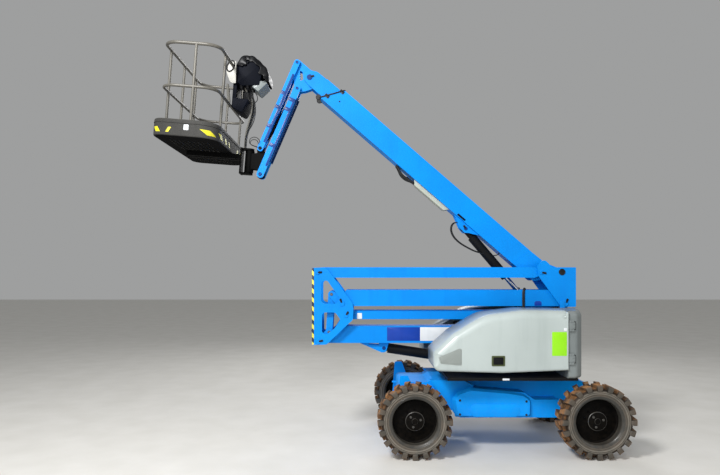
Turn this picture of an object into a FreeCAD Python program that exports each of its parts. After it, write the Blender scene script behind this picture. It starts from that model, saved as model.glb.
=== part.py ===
import FreeCAD, Part
import math
import os

os.makedirs("parts", exist_ok=True)
Vec = FreeCAD.Vector

# Frame: +X towards the tail, -X towards the cage, -Y the operator's left, Z = 0 on the ground.
# All lengths are millimetres and all angles are degrees.

# Clearances
fit = 0.05            # radial running fit of a pin in its bore
side_gap = 6.0        # between faces that swing past each other
seat = 0.3            # between a piece and the seat that carries it

# Chassis, axles and wheels
front_axle_x = 264.0
wheelbase = 2042.0
overall_half_width = 1050.0
tyre_radius = 419.0
tyre_width = 310.0
lug_count = 20
lug_height = 30.0
lug_width = 66.0
rim_radius = 280.0
rim_wall = 27.0
rim_half_width = 127.0
hub_radius = 105.0
spindle_radius = 45.0
kingpin_radius = 25.0
kingpin_inset = 205.0         # from the wheel's middle plane to its kingpin
chassis_bottom_z = 380.0
chassis_top_z = 800.0
spine_half_width = 380.0
side_box_half_width = 600.0
fender_half_width = 500.0
cover_bulge = 50.0
plate = 20.0                  # heavy steel plate

rear_axle_x = front_axle_x + wheelbase
axle_z = tyre_radius
wheel_y = overall_half_width - tyre_width / 2
nose_x = front_axle_x - 144.0
nose_top_z = 755.0
tail_x = rear_axle_x + 254.0
fender_high_x = front_axle_x + 219.0  # where the fender's flank leaves the wheel arch, at its top
fender_low_x = front_axle_x + 526.0   # and at its foot
fender_end_x = front_axle_x + 736.0
side_box_end_x = rear_axle_x - 296.0
side_box_top_z = 590.0
cover_low_x = front_axle_x + 464.0
cover_length = side_box_end_x - 355.0 - cover_low_x

# Riser linkage, in side view. Both stages are parallelograms of the same length.
riser_length = 2760.0
lower_pin = (-869.0, 1233.0)          # lower boom on the mid knuckle
lower_tie_pin = (-524.0, 1554.0)      # lower ties on the mid knuckle
upper_pin = (-574.0, 1702.0)          # upper riser on the mid knuckle
upper_tie_pin = (-876.0, 2084.0)      # upper ties on the mid knuckle
mast_lower_pin = (lower_pin[0] + riser_length, lower_pin[1])
mast_upper_pin = (lower_tie_pin[0] + riser_length, lower_tie_pin[1])
knuckle_riser_pin = (upper_pin[0] + riser_length, upper_pin[1])
knuckle_tie_pin = (upper_tie_pin[0] + riser_length, upper_tie_pin[1])
timing_x = 132.0                      # lever of the timing link, along and up
timing_z = 112.0
knuckle_outer = 235.0
knuckle_plate = 20.0
knuckle_inner = knuckle_outer - knuckle_plate
lower_boom_height = 212.0
lower_boom_bottom = -30.0             # below its pin line
lower_boom_half_width = 130.0
boom_wall = 8.0
lower_tie_height = 108.0
upper_riser_height = 199.0
upper_riser_bottom = -34.0
riser_beam_outer = 190.0
riser_beam_width = 55.0
upper_tie_height = 130.0
upper_tie_outer = 205.0
upper_tie_width = 45.0
riser_cylinder_lug = (-52.0, 1134.0)  # on the lower boom
riser_cylinder_base = (1150.0, 953.0)  # on the turntable
ram_plate_inner = 58.0                # half the gap between the plates that hold a ram
ram_plate = 18.0

# Slewing ring and turntable
slew_x = 1285.0
slew_radius = 420.0
race_radius = 300.0
race_height = 50.0
deck_z = 860.0                # underside of the turntable's deck
deck_thickness = 20.0
deck_front_x = 620.0
mast_inner = 150.0
mast_thickness = 25.0
mast_outer = mast_inner + mast_thickness
mast_front_x = mast_lower_pin[0] - 131.0
mast_back_x = mast_lower_pin[0] + 429.0
mast_top_z = mast_upper_pin[1] + 86.0
canopy_half_width = 950.0
canopy_inner = 320.0
canopy_wall = 12.0
canopy_shoulder = 90.0        # how far the top edge falls back from the side
canopy_nose_x = 479.0
canopy_tail_x = mast_lower_pin[0] + 99.0
canopy_hinge_x = canopy_tail_x + 22.0
canopy_hinge_inset = 16.0
canopy_hinge_z = (1112.0, 1487.0)
tray_thickness = 30.0
hinge_radius = 14.0
hinge_pin = 7.0
hinge_half_height = 35.0
hinge_plate = 20.0
tail_front_x = canopy_tail_x + side_gap
tail_bottom_z = deck_z + tray_thickness + seat
tail_top_z = 1650.0
tail_bridge_z = 1180.0
tail_half_width = 922.0

# Main boom, given along and below its pivot line as it would lie when lowered
boom_pivot = (knuckle_riser_pin[0] - 48.0, 2090.0)
boom_angle = 40.8
boom_top = 34.0
boom_height = 266.0
boom_bottom = boom_top + boom_height
boom_half_width = 120.0
boom_mouth_top = 3518.0
boom_mouth_bottom = 3693.0
lift_lug = (1235.0, 345.0)            # along and below
lift_base = (boom_pivot[0] - 352.0, 1687.0)  # on the upper knuckle
fly_gap = 20.0                        # between the two sections, filled by wear pads
fly_pivot = (3962.0, 189.0)           # along and below
telescope_stroke = 2600.0


def on_boom(along, below):
    """The side-view point so far along the boom and below its pivot line, with the boom lowered."""
    return (boom_pivot[0] - along, boom_pivot[1] - below)


def boom_point(along, below):
    """The same point with the boom raised to its angle."""
    dx = -along
    dz = -below
    angle = math.radians(boom_angle)
    return (boom_pivot[0] + dx * math.cos(angle) + dz * math.sin(angle),
            boom_pivot[1] - dx * math.sin(angle) + dz * math.cos(angle))


# Jib: a parallelogram between the head bracket and the cage's post
head_pivot = boom_point(*fly_pivot)
jib_top_pin = (head_pivot[0] - 157.3, head_pivot[1] + 187.2)
jib_pin_spacing = 326.0
jib_length = 1174.0
jib_angle = -66.7
jib_low_pin = (jib_top_pin[0], jib_top_pin[1] - jib_pin_spacing)
jib_dx = -jib_length * math.cos(math.radians(jib_angle))
jib_dz = jib_length * math.sin(math.radians(jib_angle))
post_top_pin = (jib_top_pin[0] + jib_dx, jib_top_pin[1] + jib_dz)
post_low_pin = (jib_low_pin[0] + jib_dx, jib_low_pin[1] + jib_dz)
jib_upper_height = 72.0
jib_lower_height = 88.0
jib_outer = 95.0
jib_bar = 40.0
jib_web = 8.0
bracket_half = 50.0
bracket_plate = 18.0
rotator = (post_top_pin[0] - 150.6, post_top_pin[1] - 164.7)
rotator_radius = 58.0
rotator_pin = 24.0
post_low_z = rotator[1] - 128.0
post_high_z = rotator[1] + 142.0

# Cage: built level about the rotator's axis, then tipped as one
cage_tilt = 4.5
cage_near_x = rotator[0] - 218.0      # edge of the tray beside the rotator
cage_depth = 745.0
cage_far_x = cage_near_x - cage_depth
cage_half_length = 925.0
tray_bottom_z = rotator[1] + 83.0
tray_height = 200.0
tray_floor = 40.0
tray_wall = 30.0
tray_near_corner = 230.0
tray_far_corner = 130.0
tray_groove = 28.0                    # width of the grooves moulded in the tray's underside
rail_radius = 19.0
rail_inset = 52.0
rail_top_z = rotator[1] + 1160.0
rail_mid_z = rotator[1] + 670.0
rail_corner = 170.0
hose_radius = 10.0

# Pins and bosses of the linkage
pin_radius = 35.0
small_pin = 28.0
ram_pin = 30.0
jib_pin = 22.0
boss = 62.0
small_boss = 52.0
front_boss = 42.0             # where the front flange of the mid knuckle is close
front_small_boss = 37.0


# Shape helpers

def box(x0, x1, y0, y1, z0, z1):
    return Part.makeBox(x1 - x0, y1 - y0, z1 - z0, Vec(x0, y0, z0))


def rod_y(at, radius, y0, y1):
    """A round bar across the machine at the side-view point at."""
    return Part.makeCylinder(radius, y1 - y0, Vec(at[0], y0, at[1]), Vec(0, 1, 0))


def rod_z(x, y, radius, z0, z1):
    return Part.makeCylinder(radius, z1 - z0, Vec(x, y, z0), Vec(0, 0, 1))


def outline(corners):
    """A closed wire in the XZ plane from (x, z, corner radius) rows."""
    count = len(corners)
    edges = []
    ends = []
    for i in range(count):
        x, z, radius = corners[i]
        here = Vec(x, 0, z)
        before = Vec(corners[i - 1][0], 0, corners[i - 1][1])
        after = Vec(corners[(i + 1) % count][0], 0, corners[(i + 1) % count][1])
        if radius <= 0:
            ends.append((here, here))
            continue
        to_before = (before - here).normalize()
        to_after = (after - here).normalize()
        half = to_before.getAngle(to_after) / 2
        reach = radius / math.tan(half)
        start = here + to_before * reach
        finish = here + to_after * reach
        middle = here + (to_before + to_after).normalize() * (radius / math.sin(half) - radius)
        edges.append((i, Part.Arc(start, middle, finish).toShape()))
        ends.append((start, finish))
    arcs = dict(edges)
    ordered = []
    for i in range(count):
        if i in arcs:
            ordered.append(arcs[i])
        start = ends[i][1]
        finish = ends[(i + 1) % count][0]
        if start.distanceToPoint(finish) > 1e-6:
            ordered.append(Part.makeLine(start, finish))
    return Part.Wire(ordered)


def slab(corners, y0, y1):
    """The outline of corners, carried across the machine from y0 to y1."""
    face = Part.Face(outline(corners))
    face.translate(Vec(0, y0, 0))
    return face.extrude(Vec(0, y1 - y0, 0))


def twin(shape):
    """The shape and its mirror image across the machine's middle plane."""
    return [shape, shape.mirror(Vec(0, 0, 0), Vec(0, 1, 0))]


def join(shapes):
    whole = shapes[0].multiFuse(shapes[1:])
    return whole.removeSplitter()


def strap(a, b, radius_a, radius_b, y0, y1):
    """A flat link with a round eye at a and at b, and straight edges tangent to both."""
    dx = b[0] - a[0]
    dz = b[1] - a[1]
    length = math.hypot(dx, dz)
    lean = math.asin((radius_a - radius_b) / length)
    heading = math.atan2(dz, dx)
    points = []
    for centre, radius, turn in ((a, radius_a, 1), (b, radius_b, 1), (b, radius_b, -1), (a, radius_a, -1)):
        angle = heading + turn * (math.pi / 2 - lean)
        points.append((centre[0] + radius * math.cos(angle), centre[1] + radius * math.sin(angle), 0))
    web = slab(points, y0, y1)
    return web.fuse([rod_y(a, radius_a, y0, y1), rod_y(b, radius_b, y0, y1)]).removeSplitter()


def hollow_beam(x0, x1, y0, y1, z0, z1, wall):
    """A box section along X with both ends closed by a plate of the wall's thickness."""
    inside = box(x0 + wall, x1 - wall, y0 + wall, y1 - wall, z0 + wall, z1 - wall)
    return box(x0, x1, y0, y1, z0, z1).cut(inside)


def turned(shape, centre, angle):
    """The shape turned about a cross axis. A positive angle lifts the cage's side."""
    copy = shape.copy()
    copy.rotate(Vec(centre[0], 0, centre[1]), Vec(0, 1, 0), angle)
    return copy


def save(name, shape):
    if isinstance(shape, list):
        shape = Part.makeCompound(shape)
    shape.exportStep("parts/" + name + ".step")


# Ram: a barrel with an eye at the origin and a rod that leaves it along +X

def ram(length, shortest, barrel_end, barrel_start, radius, rod, eye_barrel, eye_rod, half_width, reach):
    """Barrel and rod of a ram whose eyes are length apart. reach is the rod's length."""
    bore = rod + 2
    neck = min(eye_barrel, radius) * 0.9
    gland = 40.0
    body = Part.makeCylinder(radius, barrel_end - barrel_start, Vec(barrel_start, 0, 0), Vec(1, 0, 0))
    stem = Part.makeCylinder(neck, barrel_start, Vec(0, 0, 0), Vec(1, 0, 0))
    barrel = join([body, stem, rod_y((0, 0), eye_barrel, -half_width, half_width)])
    cavity_start = shortest - reach - 12
    cavity = Part.makeCylinder(bore, barrel_end - gland - cavity_start, Vec(cavity_start, 0, 0), Vec(1, 0, 0))
    mouth = Part.makeCylinder(rod + fit, gland * 2, Vec(barrel_end - gland - 1, 0, 0), Vec(1, 0, 0))
    barrel = barrel.cut(cavity).cut(mouth)
    shaft = Part.makeCylinder(rod, reach, Vec(length - reach, 0, 0), Vec(1, 0, 0))
    piston = join([shaft, rod_y((length, 0), eye_rod, -half_width, half_width)])
    return barrel, piston


def laid(shape, start, finish):
    """Moves a ram made along +X so that it runs from start to finish."""
    copy = shape.copy()
    angle = math.degrees(math.atan2(finish[1] - start[1], finish[0] - start[0]))
    copy.rotate(Vec(0, 0, 0), Vec(0, 1, 0), -angle)
    copy.translate(Vec(start[0], 0, start[1]))
    return copy


def span(a, b):
    return math.hypot(b[0] - a[0], b[1] - a[1])


# Wheels

def tyre():
    """Carcass of straight flanks with two rows of staggered lugs that wrap the shoulder."""
    tread = tyre_radius - lug_height
    half = tyre_width / 2
    section = [
        (rim_radius, -half + 35), (rim_radius + 72, -half + 13), (tread, -half + 42),
        (tread, half - 42), (rim_radius + 72, half - 13), (rim_radius, half - 35),
    ]
    ring = Part.makePolygon([Vec(r, y, 0) for r, y in section] + [Vec(rim_radius, -half + 35, 0)])
    carcass = Part.Face(ring).revolve(Vec(0, 0, 0), Vec(0, 1, 0), 360)
    lug_side = [
        (tread - 8, 6), (tyre_radius, 6), (tyre_radius, half - 28),
        (tyre_radius - 20, half), (rim_radius + 68, half - 6), (rim_radius + 68, half - 18),
    ]
    lugs = []
    pitch = 360.0 / lug_count
    for row in (1, -1):
        points = [Vec(-lug_width / 2, row * y, r) for r, y in lug_side]
        face = Part.Face(Part.makePolygon(points + points[:1]))
        block = face.extrude(Vec(lug_width, 0, 0))
        for i in range(lug_count):
            lug = block.copy()
            lug.rotate(Vec(0, 0, 0), Vec(0, 1, 0), pitch * (i + (0.5 if row > 0 else 0)))
            lugs.append(lug)
    return carcass.multiFuse(lugs)


def rim():
    """Drop-free barrel, disc and hub, outer side towards -Y, with a blind bore for the spindle."""
    lip = rim_half_width + 4
    shell = Part.makeCylinder(rim_radius - seat, 2 * rim_half_width, Vec(0, -rim_half_width, 0), Vec(0, 1, 0))
    for y in (-lip, rim_half_width - 2):
        shell = shell.fuse(Part.makeCylinder(rim_radius + 8, 6, Vec(0, y, 0), Vec(0, 1, 0)))
    inside = Part.makeCylinder(rim_radius - rim_wall, 2 * lip + 2, Vec(0, -lip - 1, 0), Vec(0, 1, 0))
    disc = Part.makeCylinder(rim_radius - rim_wall + 1, 15, Vec(0, -15, 0), Vec(0, 1, 0))
    hub = Part.makeCylinder(hub_radius, 90, Vec(0, -75, 0), Vec(0, 1, 0))
    bore = Part.makeCylinder(spindle_radius + fit, 75, Vec(0, -55, 0), Vec(0, 1, 0))
    return join([shell.cut(inside), disc, hub]).cut(bore)


def place_wheel(shape, x, side):
    """side is -1 on the operator's left, where the outer face looks towards -Y."""
    copy = shape.copy()
    if side > 0:
        copy = copy.mirror(Vec(0, 0, 0), Vec(0, 1, 0))
    copy.translate(Vec(x, side * wheel_y, axle_z))
    return copy


tyre_shape = tyre()
rim_shape = rim()
wheels = (
    ("front_left", front_axle_x, -1), ("front_right", front_axle_x, 1),
    ("rear_left", rear_axle_x, -1), ("rear_right", rear_axle_x, 1),
)
for name, x, side in wheels:
    save("tyre_" + name, place_wheel(tyre_shape, x, side))
    save("rim_" + name, place_wheel(rim_shape, x, side))

# Steering knuckles: boss on the kingpin, drive housing and spindle

kingpin_y = wheel_y - kingpin_inset
ear_thickness = 30.0
boss_half_height = 95.0
boss_radius = 58.0
hub_inner_y = wheel_y - 15            # inboard face of a wheel's hub
spindle_end_y = wheel_y + 54
housing_radius = 95.0
yoke_half_height = boss_half_height + side_gap + ear_thickness


def steer_knuckle():
    """For the operator's right, outwards to +Y."""
    at = (front_axle_x, axle_z)
    boss = rod_z(front_axle_x, kingpin_y, boss_radius, axle_z - boss_half_height, axle_z + boss_half_height)
    pin = rod_z(front_axle_x, kingpin_y, kingpin_radius, axle_z - yoke_half_height, axle_z + yoke_half_height)
    neck = rod_y(at, spindle_radius + 15, kingpin_y, kingpin_y + 80)
    housing = rod_y(at, housing_radius, kingpin_y + 70, hub_inner_y - side_gap)
    spindle = rod_y(at, spindle_radius, kingpin_y + 80, spindle_end_y)
    arm = box(front_axle_x, front_axle_x + 120, kingpin_y - 20, kingpin_y + 20, axle_z - 60, axle_z - 35)
    return join([boss, pin, neck, housing, spindle, arm])


knuckle_right = steer_knuckle()
save("steer_knuckle_right", knuckle_right)
save("steer_knuckle_left", knuckle_right.mirror(Vec(0, 0, 0), Vec(0, 1, 0)))

# Axles

beam_half_height = 75.0
beam_half_width = 85.0
tower_top_z = 870.0


def front_axle():
    """Beam with a yoke round each kingpin and a tapered tower above its end."""
    ear_start = kingpin_y - 90
    beam = hollow_beam(-ear_start, ear_start, -beam_half_width, beam_half_width,
                       axle_z - beam_half_height, axle_z + beam_half_height, plate)
    beam.rotate(Vec(0, 0, 0), Vec(0, 0, 1), 90)
    beam.translate(Vec(front_axle_x, 0, 0))
    pieces = [beam]
    for side in (-1, 1):
        y0 = min(side * (ear_start - 10), side * (ear_start + plate))
        web = box(front_axle_x - boss_radius, front_axle_x + boss_radius, y0, y0 + plate + 10,
                  axle_z - yoke_half_height, axle_z + yoke_half_height)
        pieces.append(web)
        for z in (axle_z - yoke_half_height, axle_z + yoke_half_height - ear_thickness):
            arm_y = min(side * ear_start, side * kingpin_y)
            arm = box(front_axle_x - boss_radius, front_axle_x + boss_radius, arm_y, arm_y + 90, z, z + ear_thickness)
            eye = rod_z(front_axle_x, side * kingpin_y, boss_radius, z, z + ear_thickness)
            pieces += [arm, eye]
        tower_y = side * (ear_start - 5)
        tower = [
            (front_axle_x - 175, axle_z + beam_half_height - 5, 0), (front_axle_x + 90, axle_z + beam_half_height - 5, 0),
            (front_axle_x - 50, tower_top_z, 15), (front_axle_x - 145, tower_top_z, 15),
        ]
        pieces.append(slab(tower, tower_y - plate / 2, tower_y + plate / 2))
        foot = box(front_axle_x - 175, front_axle_x + 90, tower_y - plate / 2, tower_y + plate / 2,
                   axle_z + beam_half_height - 25, axle_z + beam_half_height)
        pieces.append(foot)
    whole = join(pieces)
    for side in (-1, 1):
        whole = whole.cut(rod_z(front_axle_x, side * kingpin_y, kingpin_radius + fit, 0, chassis_top_z))
    return whole


def rear_axle():
    """Rigid beam with a drive housing and a spindle at each end."""
    at = (rear_axle_x, axle_z)
    beam_end = wheel_y - 150
    beam = hollow_beam(-beam_end, beam_end, -beam_half_width, beam_half_width,
                       axle_z - beam_half_height, axle_z + beam_half_height, plate)
    beam.rotate(Vec(0, 0, 0), Vec(0, 0, 1), 90)
    beam.translate(Vec(rear_axle_x, 0, 0))
    pieces = [beam]
    for low, high in ((beam_end - 40, hub_inner_y - side_gap), (side_gap - hub_inner_y, 40 - beam_end)):
        pieces.append(rod_y(at, housing_radius, low, high))
    for low, high in ((beam_end, spindle_end_y), (-spindle_end_y, -beam_end)):
        pieces.append(rod_y(at, spindle_radius, low, high))
    return join(pieces)


save("front_axle", front_axle())
save("rear_axle", rear_axle())

# Chassis: spine box between the axles, side boxes, front fenders, lashing lugs

beam_top_z = axle_z + beam_half_height
lug_eye_radius = 24.0
lug_bore_radius = 13.0
lug_plate = 16.0
lug_reach = 28.0              # from the face that carries a lug to its bore
lug_y = 300.0
front_lug_x = nose_x - lug_reach
front_lug_z = nose_top_z - 115
rear_lug_x = tail_x + lug_reach
rear_lug_z = nose_top_z - 195


def lashing_lug(x, wall_x, y, z):
    """A flat lug on the wall at wall_x, with an upright bore at x."""
    root_x = wall_x + math.copysign(plate / 2, wall_x - x)
    neck = box(min(x, root_x), max(x, root_x), y - lug_eye_radius, y + lug_eye_radius, z, z + lug_plate)
    gusset = box(min(wall_x, root_x), max(wall_x, root_x), y - 40, y + 40, z, z + lug_plate)
    eye = rod_z(x, y, lug_eye_radius, z, z + lug_plate)
    return join([neck, gusset, eye]).cut(rod_z(x, y, lug_bore_radius, z - 1, z + lug_plate + 1))


def chassis_frame():
    spine_low_x = front_axle_x + 280
    spine_high_x = rear_axle_x - 280
    spine = slab([
        (nose_x, beam_top_z, 0), (spine_low_x - 60, beam_top_z, 0), (spine_low_x, chassis_bottom_z + 40, 0),
        (spine_high_x, chassis_bottom_z + 40, 0), (spine_high_x + 60, beam_top_z, 0), (tail_x, beam_top_z, 0),
        (tail_x, nose_top_z - 90, 60), (rear_axle_x - 60, chassis_top_z, 0),
        (front_axle_x + 260, chassis_top_z, 0), (front_axle_x + 200, nose_top_z, 0), (nose_x, nose_top_z, 40),
    ], -spine_half_width, spine_half_width)
    hollow = slab([
        (nose_x + plate, beam_top_z + plate, 0), (spine_low_x - 50, beam_top_z + plate, 0),
        (spine_low_x + 10, chassis_bottom_z + 40 + plate, 0), (spine_high_x - 10, chassis_bottom_z + 40 + plate, 0),
        (spine_high_x + 50, beam_top_z + plate, 0), (tail_x - plate, beam_top_z + plate, 0),
        (tail_x - plate, nose_top_z - 100, 40), (rear_axle_x - 70, chassis_top_z - plate, 0),
        (front_axle_x + 268, chassis_top_z - plate, 0), (front_axle_x + 208, nose_top_z - plate, 0),
        (nose_x + plate, nose_top_z - plate, 20),
    ], plate - spine_half_width, spine_half_width - plate)
    pieces = [spine.cut(hollow)]
    fender = [
        (fender_low_x, chassis_bottom_z, 0), (fender_end_x, chassis_bottom_z, 0),
        (fender_end_x, chassis_top_z - 60, 0), (fender_end_x - 130, chassis_top_z, 90), (fender_high_x, chassis_top_z, 0),
    ]
    side_box = [
        (fender_low_x + 30, chassis_bottom_z, 0), (side_box_end_x, chassis_bottom_z, 0),
        (side_box_end_x, side_box_top_z, 40), (side_box_end_x - 310, side_box_top_z, 30),
        (side_box_end_x - 430, side_box_top_z + 82, 30), (fender_end_x, side_box_top_z + 130, 30),
        (fender_low_x - 20, side_box_top_z - 30, 60),
    ]
    for low, high in ((spine_half_width, fender_half_width), (-fender_half_width, -spine_half_width)):
        pieces.append(slab(fender, low, high))
    for low, high in ((spine_half_width, side_box_half_width), (-side_box_half_width, -spine_half_width)):
        pieces.append(slab(side_box, low, high))
    for x, wall_x, z in ((front_lug_x, nose_x, front_lug_z), (rear_lug_x, tail_x, rear_lug_z)):
        for y in (-lug_y, lug_y):
            pieces.append(lashing_lug(x, wall_x, y, z))
    return join(pieces)


chassis = chassis_frame()
save("chassis_frame", chassis)


cover_lines = (
    # share of the cover's length, height above the side box's foot, corner radius
    ((0.040, 8, 20), (0.984, 8, 40), (1.000, 50, 0), (1.000, 220, 60), (0.908, 280, 60),
     (0.714, 310, 200), (0.223, 350, 60), (0.072, 300, 60), (0.000, 218, 40)),
    ((0.072, 32, 20), (0.962, 32, 30), (0.975, 60, 0), (0.975, 210, 50), (0.895, 260, 50),
     (0.709, 288, 200), (0.234, 324, 50), (0.094, 280, 50), (0.040, 220, 30)),
)


def chassis_cover():
    """Moulded cover on the left side box: a raised bulge with softly drawn edges."""
    base, crown = [
        [(cover_low_x + share * cover_length, chassis_bottom_z + height, radius) for share, height, radius in rows]
        for rows in cover_lines
    ]
    low = outline(base)
    low.translate(Vec(0, -side_box_half_width - seat, 0))
    high = outline(crown)
    high.translate(Vec(0, -side_box_half_width - cover_bulge, 0))
    return Part.makeLoft([low, high], True, True)


cover = chassis_cover()
save("chassis_covers", twin(cover))


def slew_ring():
    ring = rod_z(slew_x, 0, slew_radius, chassis_top_z, chassis_top_z + race_height)
    return ring.cut(rod_z(slew_x, 0, race_radius + fit, chassis_top_z - 1, deck_z))


save("slew_ring", slew_ring())

# Turntable

ram_plates = ((ram_plate_inner, ram_plate_inner + ram_plate), (-ram_plate_inner - ram_plate, -ram_plate_inner))


def turntable_frame():
    """Deck, race, mast cheeks with the riser's two foot pins, the ram's lugs and the trays under the canopies."""
    deck = box(deck_front_x, mast_back_x, 20 - canopy_inner, canopy_inner - 20, deck_z, deck_z + deck_thickness)
    race = rod_z(slew_x, 0, race_radius, chassis_top_z + side_gap, deck_z + 1)
    race = race.cut(rod_z(slew_x, 0, race_radius - 60, chassis_top_z, deck_z))
    pieces = [deck, race]
    cheek = [
        (mast_front_x, deck_z, 0), (mast_back_x, deck_z, 0), (mast_back_x, deck_z + 190, 30),
        (mast_back_x - 30, mast_top_z, 60), (mast_front_x + 405, mast_top_z, 60), (mast_front_x + 30, deck_z + 450, 80),
    ]
    for low, high in ((mast_inner, mast_outer), (-mast_outer, -mast_inner)):
        pieces.append(slab(cheek, low, high))
    back = box(mast_back_x - 50, mast_back_x - 30, 5 - mast_outer, mast_outer - 5, deck_z, deck_z + 290)
    pieces.append(back)
    pieces.append(rod_y(mast_lower_pin, pin_radius, -mast_outer, mast_outer))
    pieces.append(rod_y(mast_upper_pin, small_pin, -mast_outer, mast_outer))
    foot, eye_z = riser_cylinder_base
    lug = [(foot - 75, deck_z, 0), (foot + 75, deck_z, 0), (foot + 45, eye_z + 50, 45), (foot - 45, eye_z + 50, 45)]
    for low, high in ram_plates:
        pieces.append(slab(lug, low, high))
        pieces.append(rod_y(riser_cylinder_base, ram_pin, low, high))
    tray_inner = canopy_inner - 40
    tray_outer = canopy_half_width - 60
    for low, high in ((tray_inner, tray_outer), (-tray_outer, -tray_inner)):
        pieces.append(box(deck_front_x + 20, tail_front_x + 120, low, high, deck_z, deck_z + tray_thickness))
    return join(pieces)


save("turntable_frame", turntable_frame())


def outline_flat(corners, z):
    """A closed wire at height z from (x, y, corner radius) rows."""
    wire = outline(corners)
    wire.rotate(Vec(0, 0, 0), Vec(1, 0, 0), -90)
    wire.translate(Vec(0, 0, z))
    return wire


tail_crown_radius = 60.0
tail_foot_radius = 30.0
tail_plan = (
    # from the mast's back to the corner, half width there, corner radius
    (-230.0, tail_half_width, 70.0), (-155.0, tail_half_width - 72.0, 100.0), (-30.0, 440.0, 250.0),
    (75.0, 0.0, 600.0),
)


def counterweight():
    """Tail casting: two shoulders beside the mast, a low bridge behind it, and the canopies' hinges."""
    left = [(mast_back_x + back, half, radius) for back, half, radius in tail_plan]
    right = [(x, -half, radius) for x, half, radius in left[-2::-1]]
    plan = [(tail_front_x, tail_half_width, 0)] + left + right + [(tail_front_x, -tail_half_width, 0)]
    casting = Part.Face(outline_flat(plan, tail_bottom_z)).extrude(Vec(0, 0, tail_top_z - tail_bottom_z))
    swept = [e for e in casting.Edges if e.BoundBox.XMax > tail_front_x + 1]
    crown = [e for e in swept if e.BoundBox.ZMin > tail_top_z - 1]
    foot = [e for e in swept if e.BoundBox.ZMax < tail_bottom_z + 1]
    casting = casting.makeFillet(tail_crown_radius, crown).makeFillet(tail_foot_radius, foot)
    back_x = mast_back_x + 100
    notch_half = knuckle_outer + 25
    casting = casting.cut(box(0, back_x, -notch_half, notch_half, tail_bridge_z, tail_top_z + 10))
    casting = casting.cut(box(0, mast_back_x + side_gap, -notch_half, notch_half, 0, tail_top_z + 10))
    pieces = [casting]
    hinge_y = canopy_half_width - canopy_hinge_inset
    clear = hinge_half_height + side_gap
    for side in (-1, 1):
        for z in canopy_hinge_z:
            for low in (z - clear - hinge_plate, z + clear):
                y0 = min(side * (hinge_y - 22), side * (hinge_y + 12))
                pieces.append(box(canopy_hinge_x, canopy_hinge_x + 40, y0, y0 + 34, low, low + hinge_plate))
                pieces.append(rod_z(canopy_hinge_x, side * hinge_y, hinge_radius, low, low + hinge_plate))
            reach = clear + hinge_plate
            pieces.append(rod_z(canopy_hinge_x, side * hinge_y, hinge_pin, z - reach, z + reach))
    whole = join(pieces)
    for side in (-1, 1):
        for z in canopy_hinge_z:
            pocket = rod_z(canopy_hinge_x, side * hinge_y, hinge_radius + side_gap, z - clear, z + clear)
            whole = whole.cut(pocket.cut(rod_z(canopy_hinge_x, side * hinge_y, hinge_pin, z - clear, z + clear)))
    return whole


save("counterweight", counterweight())
engine = box(canopy_tail_x - 1040, canopy_tail_x - 140, canopy_inner + 80, canopy_half_width - 110,
             tail_bottom_z, 1400)
save("engine_block", engine)

# Canopies: moulded shells, open below and towards the booms, hinged at the tail

canopy_line = (
    # share of the canopy's length, z, corner radius
    (0.0, 975, 70), (0.0, 1190, 60), (0.146, 1392, 300), (0.378, 1605, 500), (0.676, 1662, 400), (1.0, 1655, 40),
    (1.0, 975, 10),
)
canopy_profile = [
    (canopy_nose_x + share * (canopy_tail_x - canopy_nose_x), z, radius) for share, z, radius in canopy_line
]
canopy_middle_x = (canopy_nose_x + canopy_tail_x) / 2
canopy_drop = 55.0            # of the top edge from the crest to the face


def shrink(profile, gap):
    """The profile with its top and nose drawn in by gap, and run out through the bottom and the tail."""
    rows = []
    for x, z, radius in profile:
        new_x = x + gap
        new_z = z - 3 * gap if z < 1000 else z - gap
        rows.append((new_x, new_z, max(radius - gap, 1)))
    return rows


def canopy_shell(profile, outer_y, shoulder, inner_y, drop):
    """Solid between inner_y and outer_y whose top edge falls back over the shoulder's width."""
    side = []
    for x, z, radius in profile:
        side.append((x + (drop * 0.5 if x < canopy_middle_x else 0), z - (drop if z > 1000 else 0), radius))
    face = outline(side)
    face.translate(Vec(0, -outer_y, 0))
    crest = outline(profile)
    crest.translate(Vec(0, shoulder - outer_y, 0))
    edge = Part.makeLoft([face, crest], True, True)
    body = slab(profile, shoulder - outer_y, -inner_y)
    return edge.fuse(body)


def canopy():
    """For the operator's left."""
    outer = canopy_shell(canopy_profile, canopy_half_width, canopy_shoulder, canopy_inner, canopy_drop)
    inner_profile = shrink(canopy_profile, canopy_wall)
    inner = canopy_shell(inner_profile, canopy_half_width - canopy_wall, canopy_shoulder, canopy_inner - 5,
                         canopy_drop)
    shell = outer.cut(inner)
    hinge_y = -(canopy_half_width - canopy_hinge_inset)
    for z in canopy_hinge_z:
        low = z - hinge_half_height
        high = z + hinge_half_height
        leaf = box(canopy_hinge_x - 45, canopy_hinge_x, hinge_y - 10, hinge_y + 4, low, high)
        knuckle = rod_z(canopy_hinge_x, hinge_y, hinge_radius, low, high)
        shell = shell.fuse([leaf, knuckle]).cut(rod_z(canopy_hinge_x, hinge_y, hinge_pin + fit, low - 5, high + 5))
    return shell


canopy_left = canopy()
save("canopy_left", canopy_left)
save("canopy_right", canopy_left.mirror(Vec(0, 0, 0), Vec(0, 1, 0)))

# Lower boom, lower ties and mid knuckle

lever_inner = 170.0
link_thickness = 24.0
link_width = 80.0
timing_low = (lower_pin[0] + timing_x, lower_pin[1] + timing_z)
timing_high = (upper_pin[0] - timing_x, upper_pin[1] + timing_z)


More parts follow.
